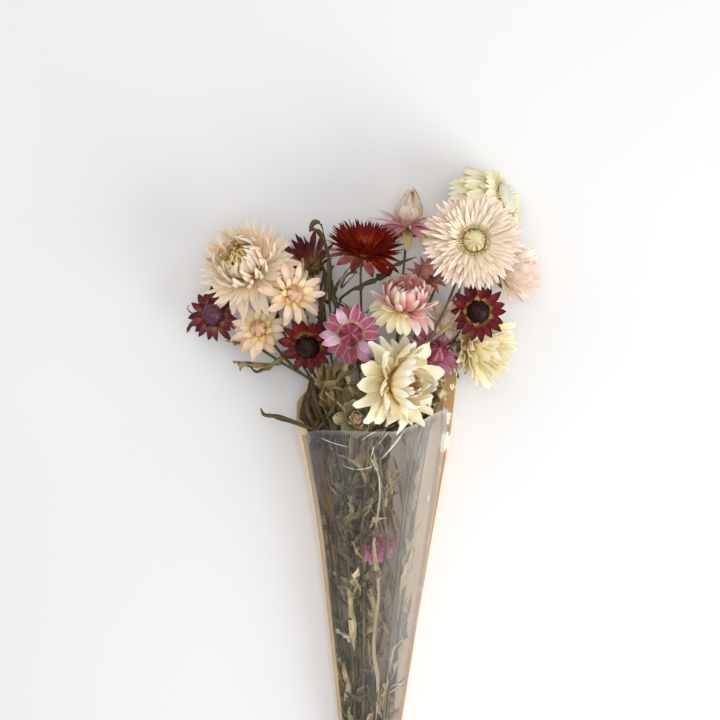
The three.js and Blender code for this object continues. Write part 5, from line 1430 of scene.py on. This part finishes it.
def paperPoint(across, along):
    right = across > 0.5
    top = mix(*sleeve["paperTop"], across) - sleeve["paperDrop"] * cornerAt(across) ** 3
    y = mix(sleeve["endY"], top + 0.7 * ripple(across, 9, 7), along)
    at = sleeveAt(min(y, 0))
    flange = mix(*sleeve["paperSeam" if right else "leftSeam"], min(1, at["share"] ** 2))
    flange += sleeve["paperSpread"] * max(0, y) if right else 0
    if across < paperMargin:
        return (-at["half"] - (flange + flare(y)) * (1 - across / paperMargin), y, at["seam"])
    if across > 1 - paperMargin:
        return (at["half"] + flange * (1 - (1 - across) / paperMargin), y, at["seam"])
    x = at["half"] * (2 * (across - paperMargin) / (1 - 2 * paperMargin) - 1)
    return (x, y, paperHeight(x, at))


def paperRim(across, along):
    return max(0, min(1, (across - 0.9) / 0.02))


makeSheet("sleevePaper", "sleeve_paper_back", paperFinish(), (60, 80), paperPoint,
          sleeve["paper"] * -1, paperRim)
makeSheet("sleeveFilm", "sleeve_film_front", filmFinish(), (72, 150), filmPoint,
          0.3, filmRim)
print("sleeve done")


def floorFinish():
    finish = Finish("paleFloor")
    cloud = finish.grain(finish.place(), 3.0, 2.0)
    colour = finish.blend(cloud.ramp(0.3, 0.7), shade(227, 228, 230), shade(231, 231, 233))
    return finish.done({"Base Color": colour, "Roughness": 0.7})


floorMesh = bmesh.new()
bmesh.ops.create_grid(floorMesh, x_segments=2, y_segments=2, size=3)
floor = addObject("floor", meshData(floorMesh, "floor", [floorFinish()]))

lights = {
    "key": {"at": (0.88, -0.4, 0.5), "size": 0.85, "power": 10.0, "tint": (1.0, 0.99, 0.975)},
    "overhead": {"at": (0.05, 0.05, 1.4), "size": 0.7, "power": 5.3, "tint": (1.0, 0.99, 0.975)},
    "fill": {"at": (-0.6, 0.8, 1.1), "size": 1.2, "power": 4.2, "tint": (1.0, 0.985, 0.96)},
}
lightsAim = Vector((-0.01, 0.0, 0.02))
for name, row in lights.items():
    lamp = bpy.data.lights.new(name, "AREA")
    lamp.size = row["size"]
    lamp.energy = row["power"]
    lamp.color = row["tint"]
    holder = addObject(name, lamp)
    holder.location = row["at"]
    holder.rotation_euler = (lightsAim - Vector(row["at"])).to_track_quat("-Z", "Y").to_euler()

sky = {"Color": (1.0, 0.985, 0.965, 1.0), "Strength": 0.54}
world = bpy.data.worlds.new("studio")
world.use_nodes = True
for key, value in sky.items():
    world.node_tree.nodes["Background"].inputs[key].default_value = value
scene.world = world
scene.view_settings.view_transform = "Standard"

view = {"lens": 78.95, "sensor": 36, "far": 10, "at": (-0.01068, 0.03876, 0.9),
        "turn": math.atan2(0.02356, 0.99972)}
camera = bpy.data.cameras.new("camera")
camera.lens = view["lens"]
camera.sensor_width = view["sensor"]
camera.clip_end = view["far"]
cameraHolder = addObject("camera", camera)
cameraHolder.location = view["at"]
cameraHolder.rotation_euler = (0, 0, view["turn"])
scene.camera = cameraHolder
